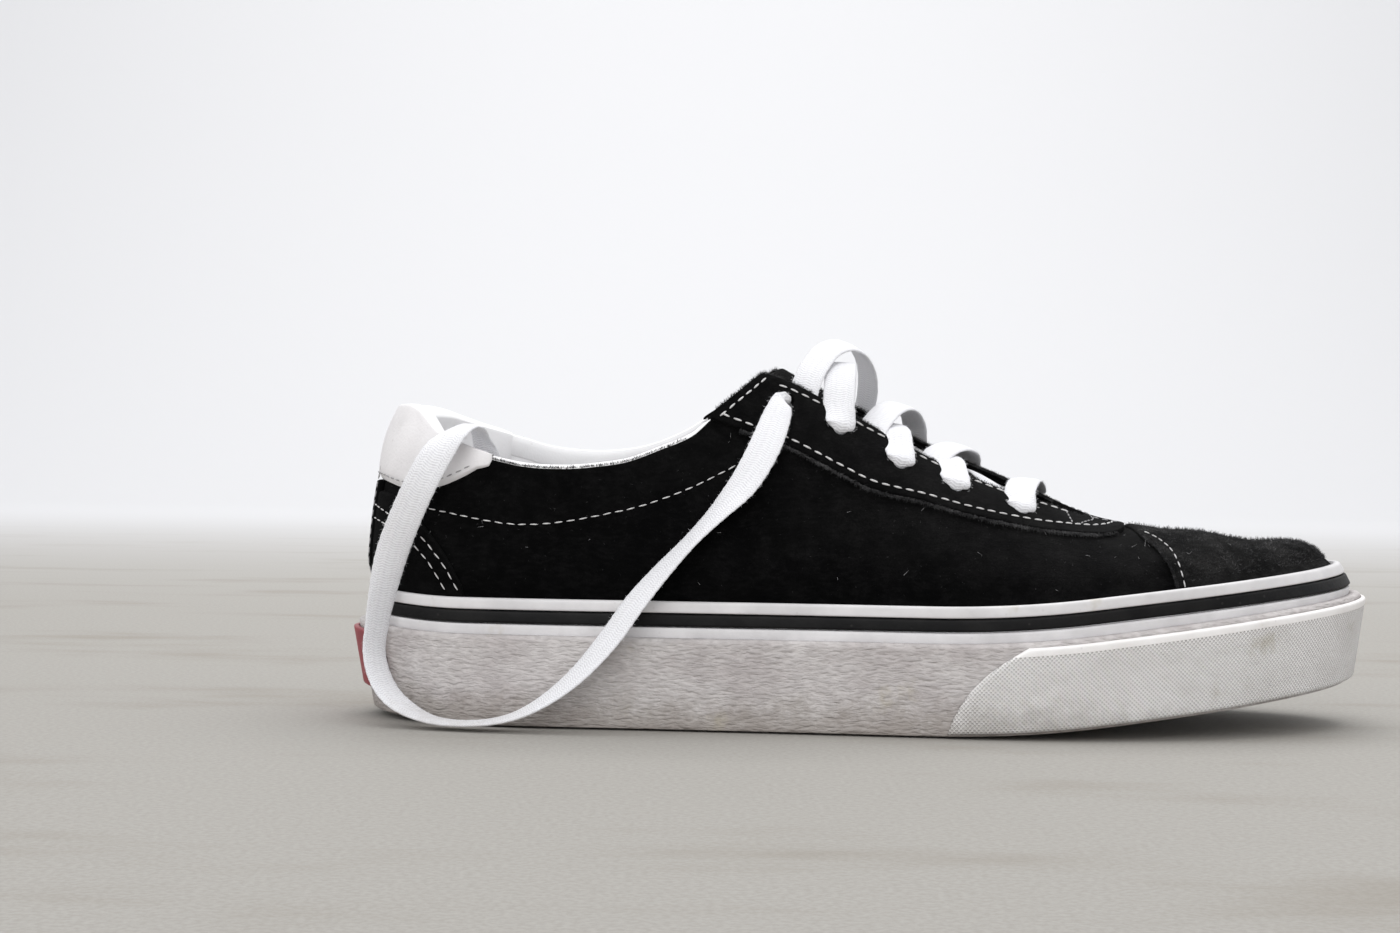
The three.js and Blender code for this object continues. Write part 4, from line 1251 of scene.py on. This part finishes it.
# %% [markdown]
# Between the heel patch and the eyestays the collar's lining is folded over a cord, so a narrow white roll
# shows above the raw edge of the suede. Its section is drawn once and carried along the rim.

# %% White roll along the rim
ROLL = [  # out from the last's skin, up from the rim
    (-1.25, -3.4), (-1.15, -2.6), (-0.6, -2.0), (-0.25, -1.4), (-0.35, -0.8), (-0.75, -0.3), (-1.35, -0.05),
    (-2.0, -0.3), (-2.45, -0.9), (-2.65, -2.0), (-2.7, -6.0), (-2.45, -6.3), (-2.25, -6.0), (-1.9, -4.2),
]
ROLL_MIDDLE = np.array([-1.3, -2.5])


def rim_roll(name, side):
    p = on_side(np.linspace(0.292, 0.43, 161), side)
    at = first_level(p, above_rim)
    rim, normal = last_point(p, at), last_normal(p, at)
    climb = way_up(p, at, 0.015)
    section = np.array(ROLL + ROLL[:1])
    bm = bmesh.new()

    def put(u, w, i, j):
        ends = np.sqrt(np.clip(np.minimum(i, len(p) - 1 - i) / 4, 0.02, 1))[:, None]
        by = section[j] * ends + ROLL_MIDDLE * (1 - ends)
        return rim[i] + normal[i] * by[:, :1] + climb[i] * by[:, 1:]

    grid_on(bm, np.arange(len(p)), np.arange(len(section)), put)
    bmesh.ops.remove_doubles(bm, verts=bm.verts, dist=0.004)
    bmesh.ops.holes_fill(bm, edges=[e for e in bm.edges if e.is_boundary], sides=0)
    finish_mesh(name, bm, lining_brightened)


rim_roll("rim_roll_outer", -1)
rim_roll("rim_roll_inner", 1)

# %% [markdown]
# ## Laces
# A flat woven lace is a ribbon: wide, thin and rounded at its sides. Each is swept along its route with a
# chosen direction for its face, so that it can twist. Where it passes an eyelet it is squeezed narrow and
# curls its sides in, so it comes out of the hole as a rounded fold and opens to its full width on the way
# up.


# %% Ribbon maker
def smooth_route(points, steps):
    """Points along a smooth line through the given ones, spaced evenly, and its length."""
    points = np.array(points, float)
    padded = np.vstack([2 * points[0] - points[1], points, 2 * points[-1] - points[-2]])
    t = np.linspace(0, 1, 24, endpoint=False)[:, None]
    out = []
    for k in range(len(points) - 1):
        a, b, c, d = padded[k : k + 4]
        square, cube = 2 * a - 5 * b + 4 * c - d, 3 * b - a - 3 * c + d
        out.append(0.5 * (2 * b + (c - a) * t + square * t**2 + cube * t**3))
    dense = np.vstack(out + [points[-1:]])
    walked = way_walked(dense[:, :3])
    even = np.linspace(0, walked[-1], steps)
    return np.stack([np.interp(even, walked, column) for column in dense.T], 1), walked[-1]


RING = 25
lace_edges = []


def ribbon(name, rows, steps, by_angle=False):
    """rows: x, y, z, face direction (3 numbers, or an angle from the camera's side), width share, curl."""
    line, length = smooth_route(rows, steps)
    at = line[:, :3]
    along = unit(np.gradient(at, axis=0))
    facing = unit(line[:, 3:6])
    if by_angle:
        viewer = np.array([0.0, -1, 0])
        ahead = unit(viewer - along * (along @ viewer)[:, None])
        angle = np.radians(line[:, 3:4])
        facing = np.cos(angle) * ahead + np.sin(angle) * np.cross(along, ahead)
    curl, walked = line[:, -1], np.linspace(0, length, steps)
    wide = line[:, -2] * LACE_WIDE / 2 * (1 + 0.012 * np.sin(walked * 1.9) + 0.012 * np.sin(walked * 4.7 + 1))
    across = unit(np.cross(along, facing))
    up = np.cross(across, along)
    side = across * wide[:, None]
    lace_edges.append((np.vstack([at + side, at - side]), np.vstack([across, -across])))
    turns = np.linspace(0, 2 * np.pi, RING)
    ring_a = np.sign(np.cos(turns)) * np.abs(np.cos(turns)) ** 0.7
    ring_b = np.sign(np.sin(turns)) * np.abs(np.sin(turns)) ** 0.75 * LACE_THICK / 2
    bm = bmesh.new()

    def put(u, w, i, j):
        shut = np.where((i == 0) | (i == steps + 1), 0.0, 1.0)
        k = np.clip(i - 1, 0, steps - 1)
        rise = ring_b[j] - curl[k] * wide[k] * ring_a[j] ** 2
        return at[k] + across[k] * (ring_a[j] * wide[k] * shut)[:, None] + up[k] * (rise * shut)[:, None]

    grid_on(bm, np.arange(steps + 2), np.arange(RING), put, (length / (steps + 1), 19 / 24))
    return finish_mesh(name, bm, cotton), at, length


def eyelet_axis(pair, side):
    """A hole's place, the skin's direction there and the way from it up to the throat's edge."""
    x = EYELETS[pair] + (EYELET_SKEW if side > 0 else 0)
    p, v = skin_at(np.array([float(x)]), np.array([float(throat_edge(x, side))]))
    edge = last_point(p, v)
    low, _ = halve(lambda v: np.linalg.norm(last_point(p, v) - edge, axis=-1) > EYELET_IN[pair], 0.3, v, 24)
    at, normal = last_point(p, low)[0], last_normal(p, low)[0]
    return at, normal, unit(edge[0] - at - normal * ((edge[0] - at) @ normal))


eyelets = [[eyelet_axis(pair, side) for side in (-1, 1)] for pair in range(5)]
print("first eyelet at", eyelets[0][0][0].round(1))

# %% [markdown]
# The loose end leaves the topmost eyelet, hangs down the outer side, lies along the ground, turns round the
# heel, climbs it and falls over the collar into the shoe. Each row gives a place, the angle by which its
# face is turned away from the outer side, how wide it opens and how far its sides curl.

# %% Lace end
LACE_END = [
    [-25, -17.4, 89.6, 0, 0.42, 0.4], [-24.4, -20.6, 91.4, 0, 0.52, 0.4], [-25, -23.8, 91.2, 4, 0.7, 0.25],
    [-26.3, -27.2, 87.4, 10, 0.9, 0.1], [-28.9, -31.8, 80.4, 14, 1, 0.03], [-32.2, -35.2, 73.6, 20, 1, 0],
    [-36.2, -37.4, 67.4, 34, 1, 0.02], [-42.6, -39.3, 60.4, 58, 1, 0.06], [-49.9, -41, 52.8, 68, 1, 0.06],
    [-58.2, -42.4, 43.6, 60, 1, 0.03], [-65, -44.8, 35.2, 52, 1, 0], [-71.4, -46.6, 26, 52, 1, 0],
    [-80, -47.6, 16.2, 62, 1, 0.03], [-89.4, -47.4, 8.6, 74, 1, 0.03], [-98.8, -46.4, 3.8, 84, 1, 0],
    [-109.4, -44.6, 2, 88, 1, 0], [-120.2, -41.6, 2.6, 84, 1, 0.02], [-129, -37.4, 6.2, 68, 1, 0.05],
    [-134.6, -33.2, 11.6, 58, 1, 0.05], [-137.6, -29.8, 19.6, 55, 1, 0.02], [-137, -28.8, 28.6, 50, 1, 0],
    [-135.2, -30, 38, 36, 1, 0.02], [-132.6, -32.6, 48, 14, 1, 0.05], [-128.6, -36.2, 58, 2, 1, 0.03],
    [-124.4, -38.2, 67, -2, 1, 0], [-120.2, -37.2, 75.2, -12, 1, 0.06], [-116.4, -33.6, 81, -48, 1, 0.16],
    [-112.6, -27.4, 83.3, -86, 1, 0.1], [-109.6, -21.2, 81.4, -118, 1, 0.1],
    [-107.6, -18.2, 74, -150, 1, 0.08], [-105.6, -19.8, 62, -165, 1, 0.05],
    [-103.4, -22, 50, -172, 1, 0.03], [-101.4, -23.4, 41, -176, 1, 0],
]
lace_end, end_line, end_length = ribbon("lace_end_ribbon", LACE_END, 380, by_angle=True)
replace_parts(lace_end, "lace_end")
dress("aglet", clear_tip)
end_line[0] / 1000
round(end_length / 1000, 4)
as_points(end_line / 1000)
print("lace end", round(end_length, 1), "mm")

# %% [markdown]
# Between the eyestays the lace still runs through its holes, but slackly. Every strand comes up out of a
# hole as a rounded fold, crosses the throat and dives under the other edge; those of the inner side arch
# over the others.


# %% Strands
def strand(name, pair, side, points, tilt=0.0, steps=96):
    """Out of an eyelet and on through the given points, its face turned away from the throat's middle."""
    at, normal, upward = eyelets[pair][side]
    fold = [
        (at - 3.4 * normal, -upward, 0.42, 0.5),
        (at + 0.2 * normal - 0.4 * upward, 0.3 * normal - upward, 0.6, 0.5),
        (at + 1.7 * normal - 0.2 * upward, normal - 0.9 * upward, 0.84, 0.34),
        (at + 2.9 * normal + 1.4 * upward, normal - 0.3 * upward, 0.97, 0.16),
    ]
    points = np.array(points, float)
    middle = points.mean(0) - np.array([0, 0, 9])
    outward = unit(points - middle) + np.array([0, -tilt, 0])
    rows = [[*spot, *unit(face), wide, curl] for spot, face, wide, curl in fold]
    rows += [[*spot, *unit(face), 1.0, 0.05] for spot, face in zip(points, outward)]
    return ribbon(name, rows, steps)


def loose_loop(name, side, tilt, node_name, points):
    """A strand that is free to move; it replaces its solid, and its length is printed."""
    piece, line, length = strand(name, 3, side, points, tilt, 120)
    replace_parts(piece, node_name)
    line[0] / 1000
    round(length / 1000, 4)
    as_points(line / 1000)
    print(name, round(length, 1), "mm")


loose_loop("lace_loop_near_ribbon", 0, 0.1, "lace_loop_near", [
    [-8.4, -17.6, 90], [-8, -14, 96.4], [-7.6, -9, 101.2], [-7.2, -3, 103], [-6.8, 3, 101.6],
    [-6.6, 7.6, 97.2], [-6.8, 10.2, 91.6], [-7.2, 11.4, 86],
])
loose_loop("lace_loop_far_ribbon", 1, 0.5, "lace_loop_far", [
    [1.2, 18, 90], [2.2, 15, 96.6], [1.4, 11, 102.6], [-1.6, 6, 107.2], [-6.2, 0.6, 108.8], [-11, -4.6, 107],
    [-15, -9.6, 102.2], [-17.4, -12.6, 97.2], [-18.8, -13.8, 92.4],
])
bar_at, bar_normal, bar_upward = eyelets[0][1]
STRANDS = [  # name, the solid that it replaces, pair, side, tilt, route
    ("lace_cross_high_near", "lace_cross_high", 2, 0, 0.0, [
        [8.7, -15, 80], [8.5, -10.6, 83.6], [7.6, -4.6, 85.2], [6.6, 1.4, 85.6], [5.4, 7, 85.4],
        [4.6, 11.4, 84], [4.2, 14.6, 80.5],
    ]),
    ("lace_cross_high_far", None, 2, 1, 0.45, [
        [16.6, 18, 81.6], [16, 14.4, 86.6], [13.8, 9.6, 90.2], [10.8, 4, 91.4], [7.4, -1.6, 90.4],
        [4.2, -6.8, 87.6], [1.6, -11, 84], [0.4, -13.4, 81], [-0.4, -16, 77.6],
    ]),
    ("lace_cross_low_near", "lace_cross_low", 1, 0, 0.0, [
        [24.7, -13.2, 72.4], [24.3, -8.8, 75.2], [23.5, -4, 76.4], [22.5, 1, 76.8], [21.5, 6, 76.6],
        [20.6, 10, 75], [20, 13.4, 72],
    ]),
    ("lace_cross_low_far", None, 1, 1, 0.4, [
        [32.4, 17.4, 76], [31.6, 13.4, 78.6], [29.4, 8.6, 79.6], [26.6, 3.4, 79.7], [23.6, -1.6, 78.9],
        [20.9, -5.8, 77.2], [19, -9, 74.6], [17.9, -11.4, 72], [17, -14, 69],
    ]),
    ("lace_bar_ribbon", "lace_bar", 0, 0, 0.1, [
        [43.9, -12.4, 65.4], [45, -7.6, 68.2], [46.6, -1.6, 69.6], [48.2, 5, 70.1], [49.8, 11, 69.6],
        bar_at + 2.8 * bar_normal + 2.5 * bar_upward, bar_at + 1.5 * bar_normal - 0.3 * bar_upward,
        bar_at - 3 * bar_normal,
    ]),
]
for name, node_name, pair, side, tilt, route in STRANDS:
    piece, _, _ = strand(name, pair, side, route, tilt)
    if node_name:
        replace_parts(piece, node_name)

# %% The strand below the bar
UNDER = [  # x, y and the height over the last
    [45, -11, -3.4], [42.6, -5.4, -1.5], [38.6, 0, -1.1], [34.6, 5.4, -1.2], [31.6, 10.6, -2.4],
    [30.6, 14, -4],
]
under_x, under_y, under_high = np.array(UNDER).T
under_at = skin_at(under_x, under_y)
under_spots = zip(skin(*under_at, under_high), last_normal(*under_at))
ribbon("lace_under_ribbon", [[*spot, *face, 1.0, 0.05] for spot, face in under_spots], 60)

# %% [markdown]
# The lace holes are punched through both suede layers and the lining, with no metal round them.
# One cutter holds ten short rods, one on each eyelet's axis; it cuts every layer and is then thrown away.

# %% Punched holes
HOLE_RADIUS, ROD_LENGTH = 0.0021, 0.0052
rods = bmesh.new()
for at, normal, _ in (place for pair in eyelets for place in pair):
    turn = Vector(normal).to_track_quat("Z", "Y").to_matrix().to_4x4()
    spot = Matrix.Translation(Vector(at - 0.4 * normal) * MM) @ turn
    size = {"radius1": HOLE_RADIUS, "radius2": HOLE_RADIUS, "depth": ROD_LENGTH}
    bmesh.ops.create_cone(rods, cap_ends=True, segments=20, matrix=spot, **size)
punch = stand(bpy.data.objects.new("punch", mesh_from("punch", rods)))
for piece in (eyestay_outer, eyestay_inner, quarters, lining):
    cut = piece.modifiers.new("holes", "BOOLEAN")
    cut.operation, cut.solver, cut.object = "DIFFERENCE", "EXACT", punch
    result = bpy.data.meshes.new_from_object(piece.evaluated_get(bpy.context.evaluated_depsgraph_get()))
    piece.modifiers.clear()
    old, piece.data = piece.data, result
    bpy.data.meshes.remove(old)
    result.name = piece.name
    print(piece.name, "punched:", len(result.polygons), "faces")
bpy.data.objects.remove(punch)

# %% The sole's underside keeps its solid
dress("outsole", rubber_tread)
print("underside:", rubber_tread.name)

# %% [markdown]
# ## Stitches
# A lockstitch shows as a row of short dashes, each pulled down at both ends. Every dash is one small bmesh
# ball, drawn out along its row, and a row's dashes are joined with all others of its thread.


# %% Rows on the upper
def side_skin(line, side):
    """Where on the last the points (x, z) of a line seen from the side lie."""
    x, z = np.array(line, float).T
    p, v = np.full_like(x, 0.25), np.full_like(x, 0.4)
    for _ in range(5):
        low, _ = halve(lambda share: last_point(on_side(share, side), v)[..., 0] > x, 0.02, 0.5, 20)
        p = on_side(low, side)
        v, _ = halve(lambda level: last_point(p, level)[..., 2] < z, 0.0, 1.0, 20)
    return p, v


def fine_line(points, step=1.2):
    """A smooth line through chosen points, with a point every step."""
    points = np.array(points, float)
    far = way_walked(points)[-1]
    return smooth_route(points, max(int(far / step), 3))[0]


def beside(points, by):
    """A line beside another one in its plane, to its left when by is positive."""
    line = fine_line(points)
    along = unit(np.gradient(line, axis=0))
    return line + np.stack([-along[:, 1], along[:, 0]], 1) * by


def row_at(p, v, height):
    """A row's points at a height over the last, and the skin's direction at each."""
    return skin(p, v, height), last_normal(p, np.minimum(v, 0.998))


def row_on_side(line, side, height):
    return row_at(*side_skin(line, side), height)


def repeated(name, shape, turns, places, material, smooth=True):
    """One small bmesh shape, repeated at each place with its own turn and stretch, as one joined mesh."""
    shape.verts.index_update()
    corners = np.array([v.co[:] for v in shape.verts])
    faces = [[v.index for v in f.verts] for f in shape.faces]
    shape.free()
    points = np.einsum("kij,nj->kni", turns, corners) + places[:, None]
    mesh = bpy.data.meshes.new(name)
    ring = [[c + k * len(corners) for c in face] for k in range(len(places)) for face in faces]
    mesh.from_pydata((points.reshape(-1, 3) * MM).tolist(), [], ring)
    hang(name, mesh, material, smooth)


chance = np.random.default_rng(7)


def dashes(line, normals, dash, pitch):
    """Where each dash of a row lies: its middle, and the directions along, across and up."""
    walked = way_walked(line)
    count = int(walked[-1] / pitch)
    start = pitch * (np.arange(count) + 0.15) + chance.uniform(-0.12, 0.12, count)

    def along_row(table, at):
        return np.stack([np.interp(at, walked, column) for column in table.T], 1)

    first, last = along_row(line, start), along_row(line, start + dash)
    up = unit(along_row(normals, start + dash / 2))
    across = unit(np.cross(up, last - first))
    return (first + last) / 2, last - first + across * chance.uniform(-0.16, 0.16, (count, 1)), across, up


def thread_piece(name, rows, material, dash, pitch, wide, high):
    found = [dashes(line, normals, dash, pitch) for line, normals in rows]
    middle, along, across, up = (np.vstack(parts) for parts in zip(*found))
    ball = bmesh.new()
    bmesh.ops.create_uvsphere(ball, u_segments=6, v_segments=5, radius=1)
    turns = np.stack([across * wide / 2, up * high, along / 2], -1)
    repeated(name, ball, turns, middle, material)


print("stitch tools ready")

# %% [markdown]
# The eyestays are sewn all round, two millimetres inside their raw edges, with a thick white thread.
# The collar's seam, the counter and the toe panel are sewn with a thinner one.

# %% Seams
COLLAR_SEAM = [
    [-139.6, 64.4], [-132, 61.6], [-121.4, 59.6], [-115.8, 58.6], [-108.7, 57.3], [-101.6, 56.3],
    [-94.6, 56.1], [-87.6, 56.7], [-80.2, 57.9], [-72.2, 59.6], [-63.9, 61.6], [-54.2, 65.1], [-47.6, 68],
    [-41, 71.4], [-34, 75.2], [-29.5, 78],
]
COUNTER_ROW = [[-139.8, 60.6], [-134, 57.6], [-125, 52.2], [-120, 46.8], [-116, 41.2], [-113.4, 36]]
COUNTER_ROW_LOW = [[-139.8, 56.8], [-131.5, 53.2], [-125.4, 48.3], [-120.6, 42.6], [-117, 36.4]]
VAMP_ROW = [[79.4, 54.4], [82.2, 52.9], [84.6, 50.2], [85.8, 45.8], [86.5, 40.5], [86.8, 37.5]]
BACK_EDGE = {-1: RIM_OUTER[-4:-1], 1: [[-45, 88.5], [-34, 96], [-23, 103.5]]}
BACK_SPAN = {-1: (-43.5, -29), 1: (-42, -23.5)}
THROAT_ROW_START = {-1: -26.5, 1: -21}
ON_PANEL = 1.55  # just over a panel's face


def clipped(line, low, high):
    return line[(line[:, 0] > low) & (line[:, 0] < high)]


thick_rows, thin_rows = [], []
for side in (-1, 1):
    lower = clipped(beside(EYESTAY_LOWER[:-1] + [[75.5, 55.8]], 2.1), -43, 73)
    back = clipped(beside(BACK_EDGE[side], -2.2), *BACK_SPAN[side])
    thick_rows += [row_on_side(line, side, ON_PANEL) for line in (lower, back)]
    x = np.arange(THROAT_ROW_START[side], 61.5, 1.2)
    thick_rows.append(row_at(*skin_at(x, throat_edge(x, side) + side * 2.2), ON_PANEL))
    seams = [(COLLAR_SEAM, 0.1), (COUNTER_ROW, ON_PANEL), (COUNTER_ROW_LOW, ON_PANEL), (VAMP_ROW, 1.6)]
    for seam, height in seams:
        thin_rows.append(row_on_side(fine_line(seam), side, height))
thread_piece("stitches_eyestays", thick_rows, thread, 2.5, 3.5, 0.62, 0.34)
thread_piece("stitches_seams", thin_rows, thread, 2.4, 3.4, 0.42, 0.24)

# %% Front tack, back stay and patch
TACK = [  # x and y of each row's start and end
    (58.5, -14, 57.5, 12), (66.5, -3, 59.5, -15), (66.5, 5, 59.5, 13), (66.5, -3, 66.5, 5),
    (66.5, 1, 76, 1.6),
]
tack_rows = []
for x0, y0, x1, y1 in TACK:
    share = np.linspace(0, 1, 24)
    x, y = x0 + (x1 - x0) * share, y0 + (y1 - y0) * share
    clear = np.flatnonzero((np.abs(y - throat_edge(x, 0)) > throat_half(x) + 0.8) | (x > 65))
    cuts = np.split(clear, np.flatnonzero(np.diff(clear) > 1) + 1)
    tack_rows += [row_at(*skin_at(x[c], y[c]), 1.6) for c in cuts if len(c) > 3]
row_levels = np.linspace(foxing_level(heel_middle, -1)[0], 0.43, 40)
for y in (-6.6, 6.6):
    tack_rows.append(row_at(share_at_y(row_levels, y), row_levels, 1.75))
thread_piece("stitches_tack", tack_rows, thread_grey, 1.9, 2.7, 0.42, 0.24)

patch_x = np.linspace(-139.5, -109.5, 40)
patch_row = np.stack([patch_x, patch_lower(patch_x) + 1.7], 1)
patch_rows = [row_on_side(patch_row, side, 1.78) for side in (-1, 1)]
thread_piece("stitches_patch", patch_rows, thread_grey, 1.9, 2.8, 0.42, 0.3)

# %% [markdown]
# Raw suede edges are furry, and a few loose hairs and bits of lint stand on the panels.
# Each hair is a slim three-sided cone from bmesh, so thousands of them stay light.


# %% Fuzz
def hairs(name, rows, count, length, thick, fallen, material, seed):
    """Cones scattered over the spots of some rows; fallen is how far they lean over."""
    spots, normals = (np.vstack(parts) for parts in zip(*rows))
    luck = np.random.default_rng(seed)
    pick = luck.integers(0, len(spots), count)
    way = unit(normals[pick] + luck.normal(0, fallen, (count, 3)))
    sunk = (way * normals[pick]).sum(1) < 0.05
    way = np.where(sunk[:, None], unit(way + normals[pick]), way)
    side = unit(np.cross(way, unit(luck.normal(0, 1, (count, 3)))))
    long = length * luck.uniform(0.45, 1.25, (count, 1))
    base = spots[pick] + luck.normal(0, 0.12, (count, 3)) + way * (long / 2 - 0.1)
    cone = bmesh.new()
    bmesh.ops.create_cone(cone, cap_ends=True, segments=3, radius1=1, radius2=0.2, depth=1)
    turns = np.stack([side * thick, np.cross(way, side) * thick, way * long], -1)
    repeated(name, cone, turns, base, material, smooth=False)


edge_rows, rim_rows, lower_rows = [], [], []
for side in (-1, 1):
    share = on_side(np.linspace(0.1, 0.33, 400), side)
    top = first_level(share, in_opening, 0.2)
    keep = (top < 0.999) & (last_point(share, top)[:, 0] > -43)
    edge_rows.append((skin(share[keep], top[keep], 0.8), last_normal(share[keep], top[keep])))
    spots, ways = row_on_side(fine_line(EYESTAY_LOWER[1:-1], 0.8), side, 1.1)
    lower_rows.append((spots, unit(0.8 * ways + np.array([0, 0, -1.0]))))
    seam_z = np.linspace(37, 54, 60)
    edge_rows.append(row_on_side(np.stack([vamp_seam(seam_z) - 2.2, seam_z], 1), side, 1.0))
    share = on_side(np.linspace(0.3, 0.43, 300), side)
    level = first_level(share, lambda at: above_rim(at, -1.1))
    rim_rows.append((skin(share, level, -0.1), way_up(share, level) + 0.5 * last_normal(share, level)))

scatter = np.random.default_rng(5)
p, v = scatter.uniform(0, 1, 9000), scatter.uniform(0.12, 0.98, 9000)
at = skin(p, v)
here = ~(in_throat(at, 1.0) | above_rim(at, -4.0)) & (at[:, 2] - sole_bottom(at[:, 0]) > 38)
nap_rows = [(skin(p, v, np.where(at[:, 0] > 84, 1.5, 0.0))[here], last_normal(p, v)[here])]
p, v = np.mod(scatter.uniform(-0.17, 0.17, 14000), 1), scatter.uniform(0.3, 0.995, 14000)
at = skin(p, v, 1.45)
here = (at[:, 0] > vamp_seam(np.clip(at[:, 2], 30, 54)) - 1) & (at[:, 2] - sole_bottom(at[:, 0]) > 36.5)
toe_rows = [(at[here], last_normal(p, v)[here])]

hairs("fuzz_edges", edge_rows, 9000, 1.1, 0.075, 0.7, suede_edge, 11)
hairs("fuzz_eyestay_edges", lower_rows, 6000, 1.4, 0.08, 0.45, suede_edge, 17)
hairs("fuzz_rim", rim_rows, 2400, 0.8, 0.07, 0.5, suede, 15)
hairs("fuzz_nap", nap_rows, 4000, 0.6, 0.04, 0.9, suede_edge, 12)
hairs("fuzz_toe", toe_rows, 9000, 1.1, 0.075, 0.6, suede_edge, 16)
hairs("lint", nap_rows, 110, 1.8, 0.06, 1.6, thread_grey, 13)
hairs("fuzz_lace", lace_edges, 2600, 0.8, 0.03, 0.8, cotton, 14)

# %% [markdown]
# ## Floor and light
# A pale sheet lies under the shoe and curves up far behind it, so that floor and background meet softly.
# The light is that of a bright overcast day: a wide soft box overhead, a little behind the shoe, and a weak
# fill.

# %% Floor and backdrop
FLOOR_START, FLOOR_LONG, FLOOR_HALF, BEND_AT, BEND_RADIUS = -2.0, 9.0, 7, 2.6, 1.6
sweep = bmesh.new()
bmesh.ops.create_grid(sweep, x_segments=4, y_segments=120, size=1)
for vert in sweep.verts:
    walked = (vert.co.y + 1) / 2 * FLOOR_LONG + FLOOR_START
    turned = min(max(walked - BEND_AT, 0) / BEND_RADIUS, math.pi / 2)
    up = max(walked - BEND_AT - BEND_RADIUS * math.pi / 2, 0)
    flat = min(walked, BEND_AT) + BEND_RADIUS * math.sin(turned)
    vert.co = Vector((vert.co.x * FLOOR_HALF, flat, BEND_RADIUS * (1 - math.cos(turned)) + up))
sweep_mesh = mesh_from("floor", sweep)
sweep_mesh.shade_smooth()
floor = stand(bpy.data.objects.new("floor", sweep_mesh))


def floor_look(tree):
    """Greyish and stained near the shoe, and glowing faintly far off."""
    place = placed(tree)
    tint = place.noise(700.0, 4.0, 0.6).ramp(0.3, 0.7).blend((0.36, 0.345, 0.32), (0.31, 0.295, 0.27))
    stains = placed(tree, (0.4, 1, 1)).noise(14.0, 4.0, 0.6).ramp(0.5, 0.75, 0.0, 0.5)
    far_off = place.axis("Y").ramp(0.35, 2.4)
    return {
        "Base Color": far_off.blend(stains.blend(tint, (0.22, 0.19, 0.15)), (0.5, 0.5, 0.508)),
        "Emission Color": far_off.blend((0, 0, 0), (1, 1, 1.02)),
        "Normal": place.noise(900.0, 4.0).relief(0.0001),
    }


floor_pale = material("floor_pale", floor_look, 0.8, Specular_IOR_Level=0.3, Emission_Strength=0.12)
sweep_mesh.materials.append(floor_pale)
print("floor sheet:", len(sweep_mesh.polygons), "faces")

# %% Light
world = bpy.data.worlds.new("studio")
bpy.context.scene.world = world
world.use_nodes = True
sky = world.node_tree.nodes["Background"].inputs
sky["Color"].default_value = (0.93, 0.94, 0.96, 1)
sky["Strength"].default_value = 0.95
SOFT_BOXES = [  # name, place, target, size in metres, watts
    ("sky_above", (0.15, 0.35, 1.5), (0, 0, 0.05), 1.7, 14),
    ("front_fill", (-0.5, -1.7, 0.75), (0, 0, 0.05), 1.6, 12),
    ("far_glow", (0.0, 2.2, 2.6), (0, 4.0, 0.6), 2.5, 60),
]
for name, place, target, size, power in SOFT_BOXES:
    light = bpy.data.lights.new(name, "AREA")
    light.shape, light.size, light.energy = "DISK", size, power
    lamp = stand(bpy.data.objects.new(name, light))
    lamp.location = place
    lamp.rotation_euler = (Vector(target) - Vector(place)).to_track_quat("-Z", "Y").to_euler()
bpy.context.scene.view_settings.view_transform = "Standard"
print("lights:", len(bpy.data.lights))
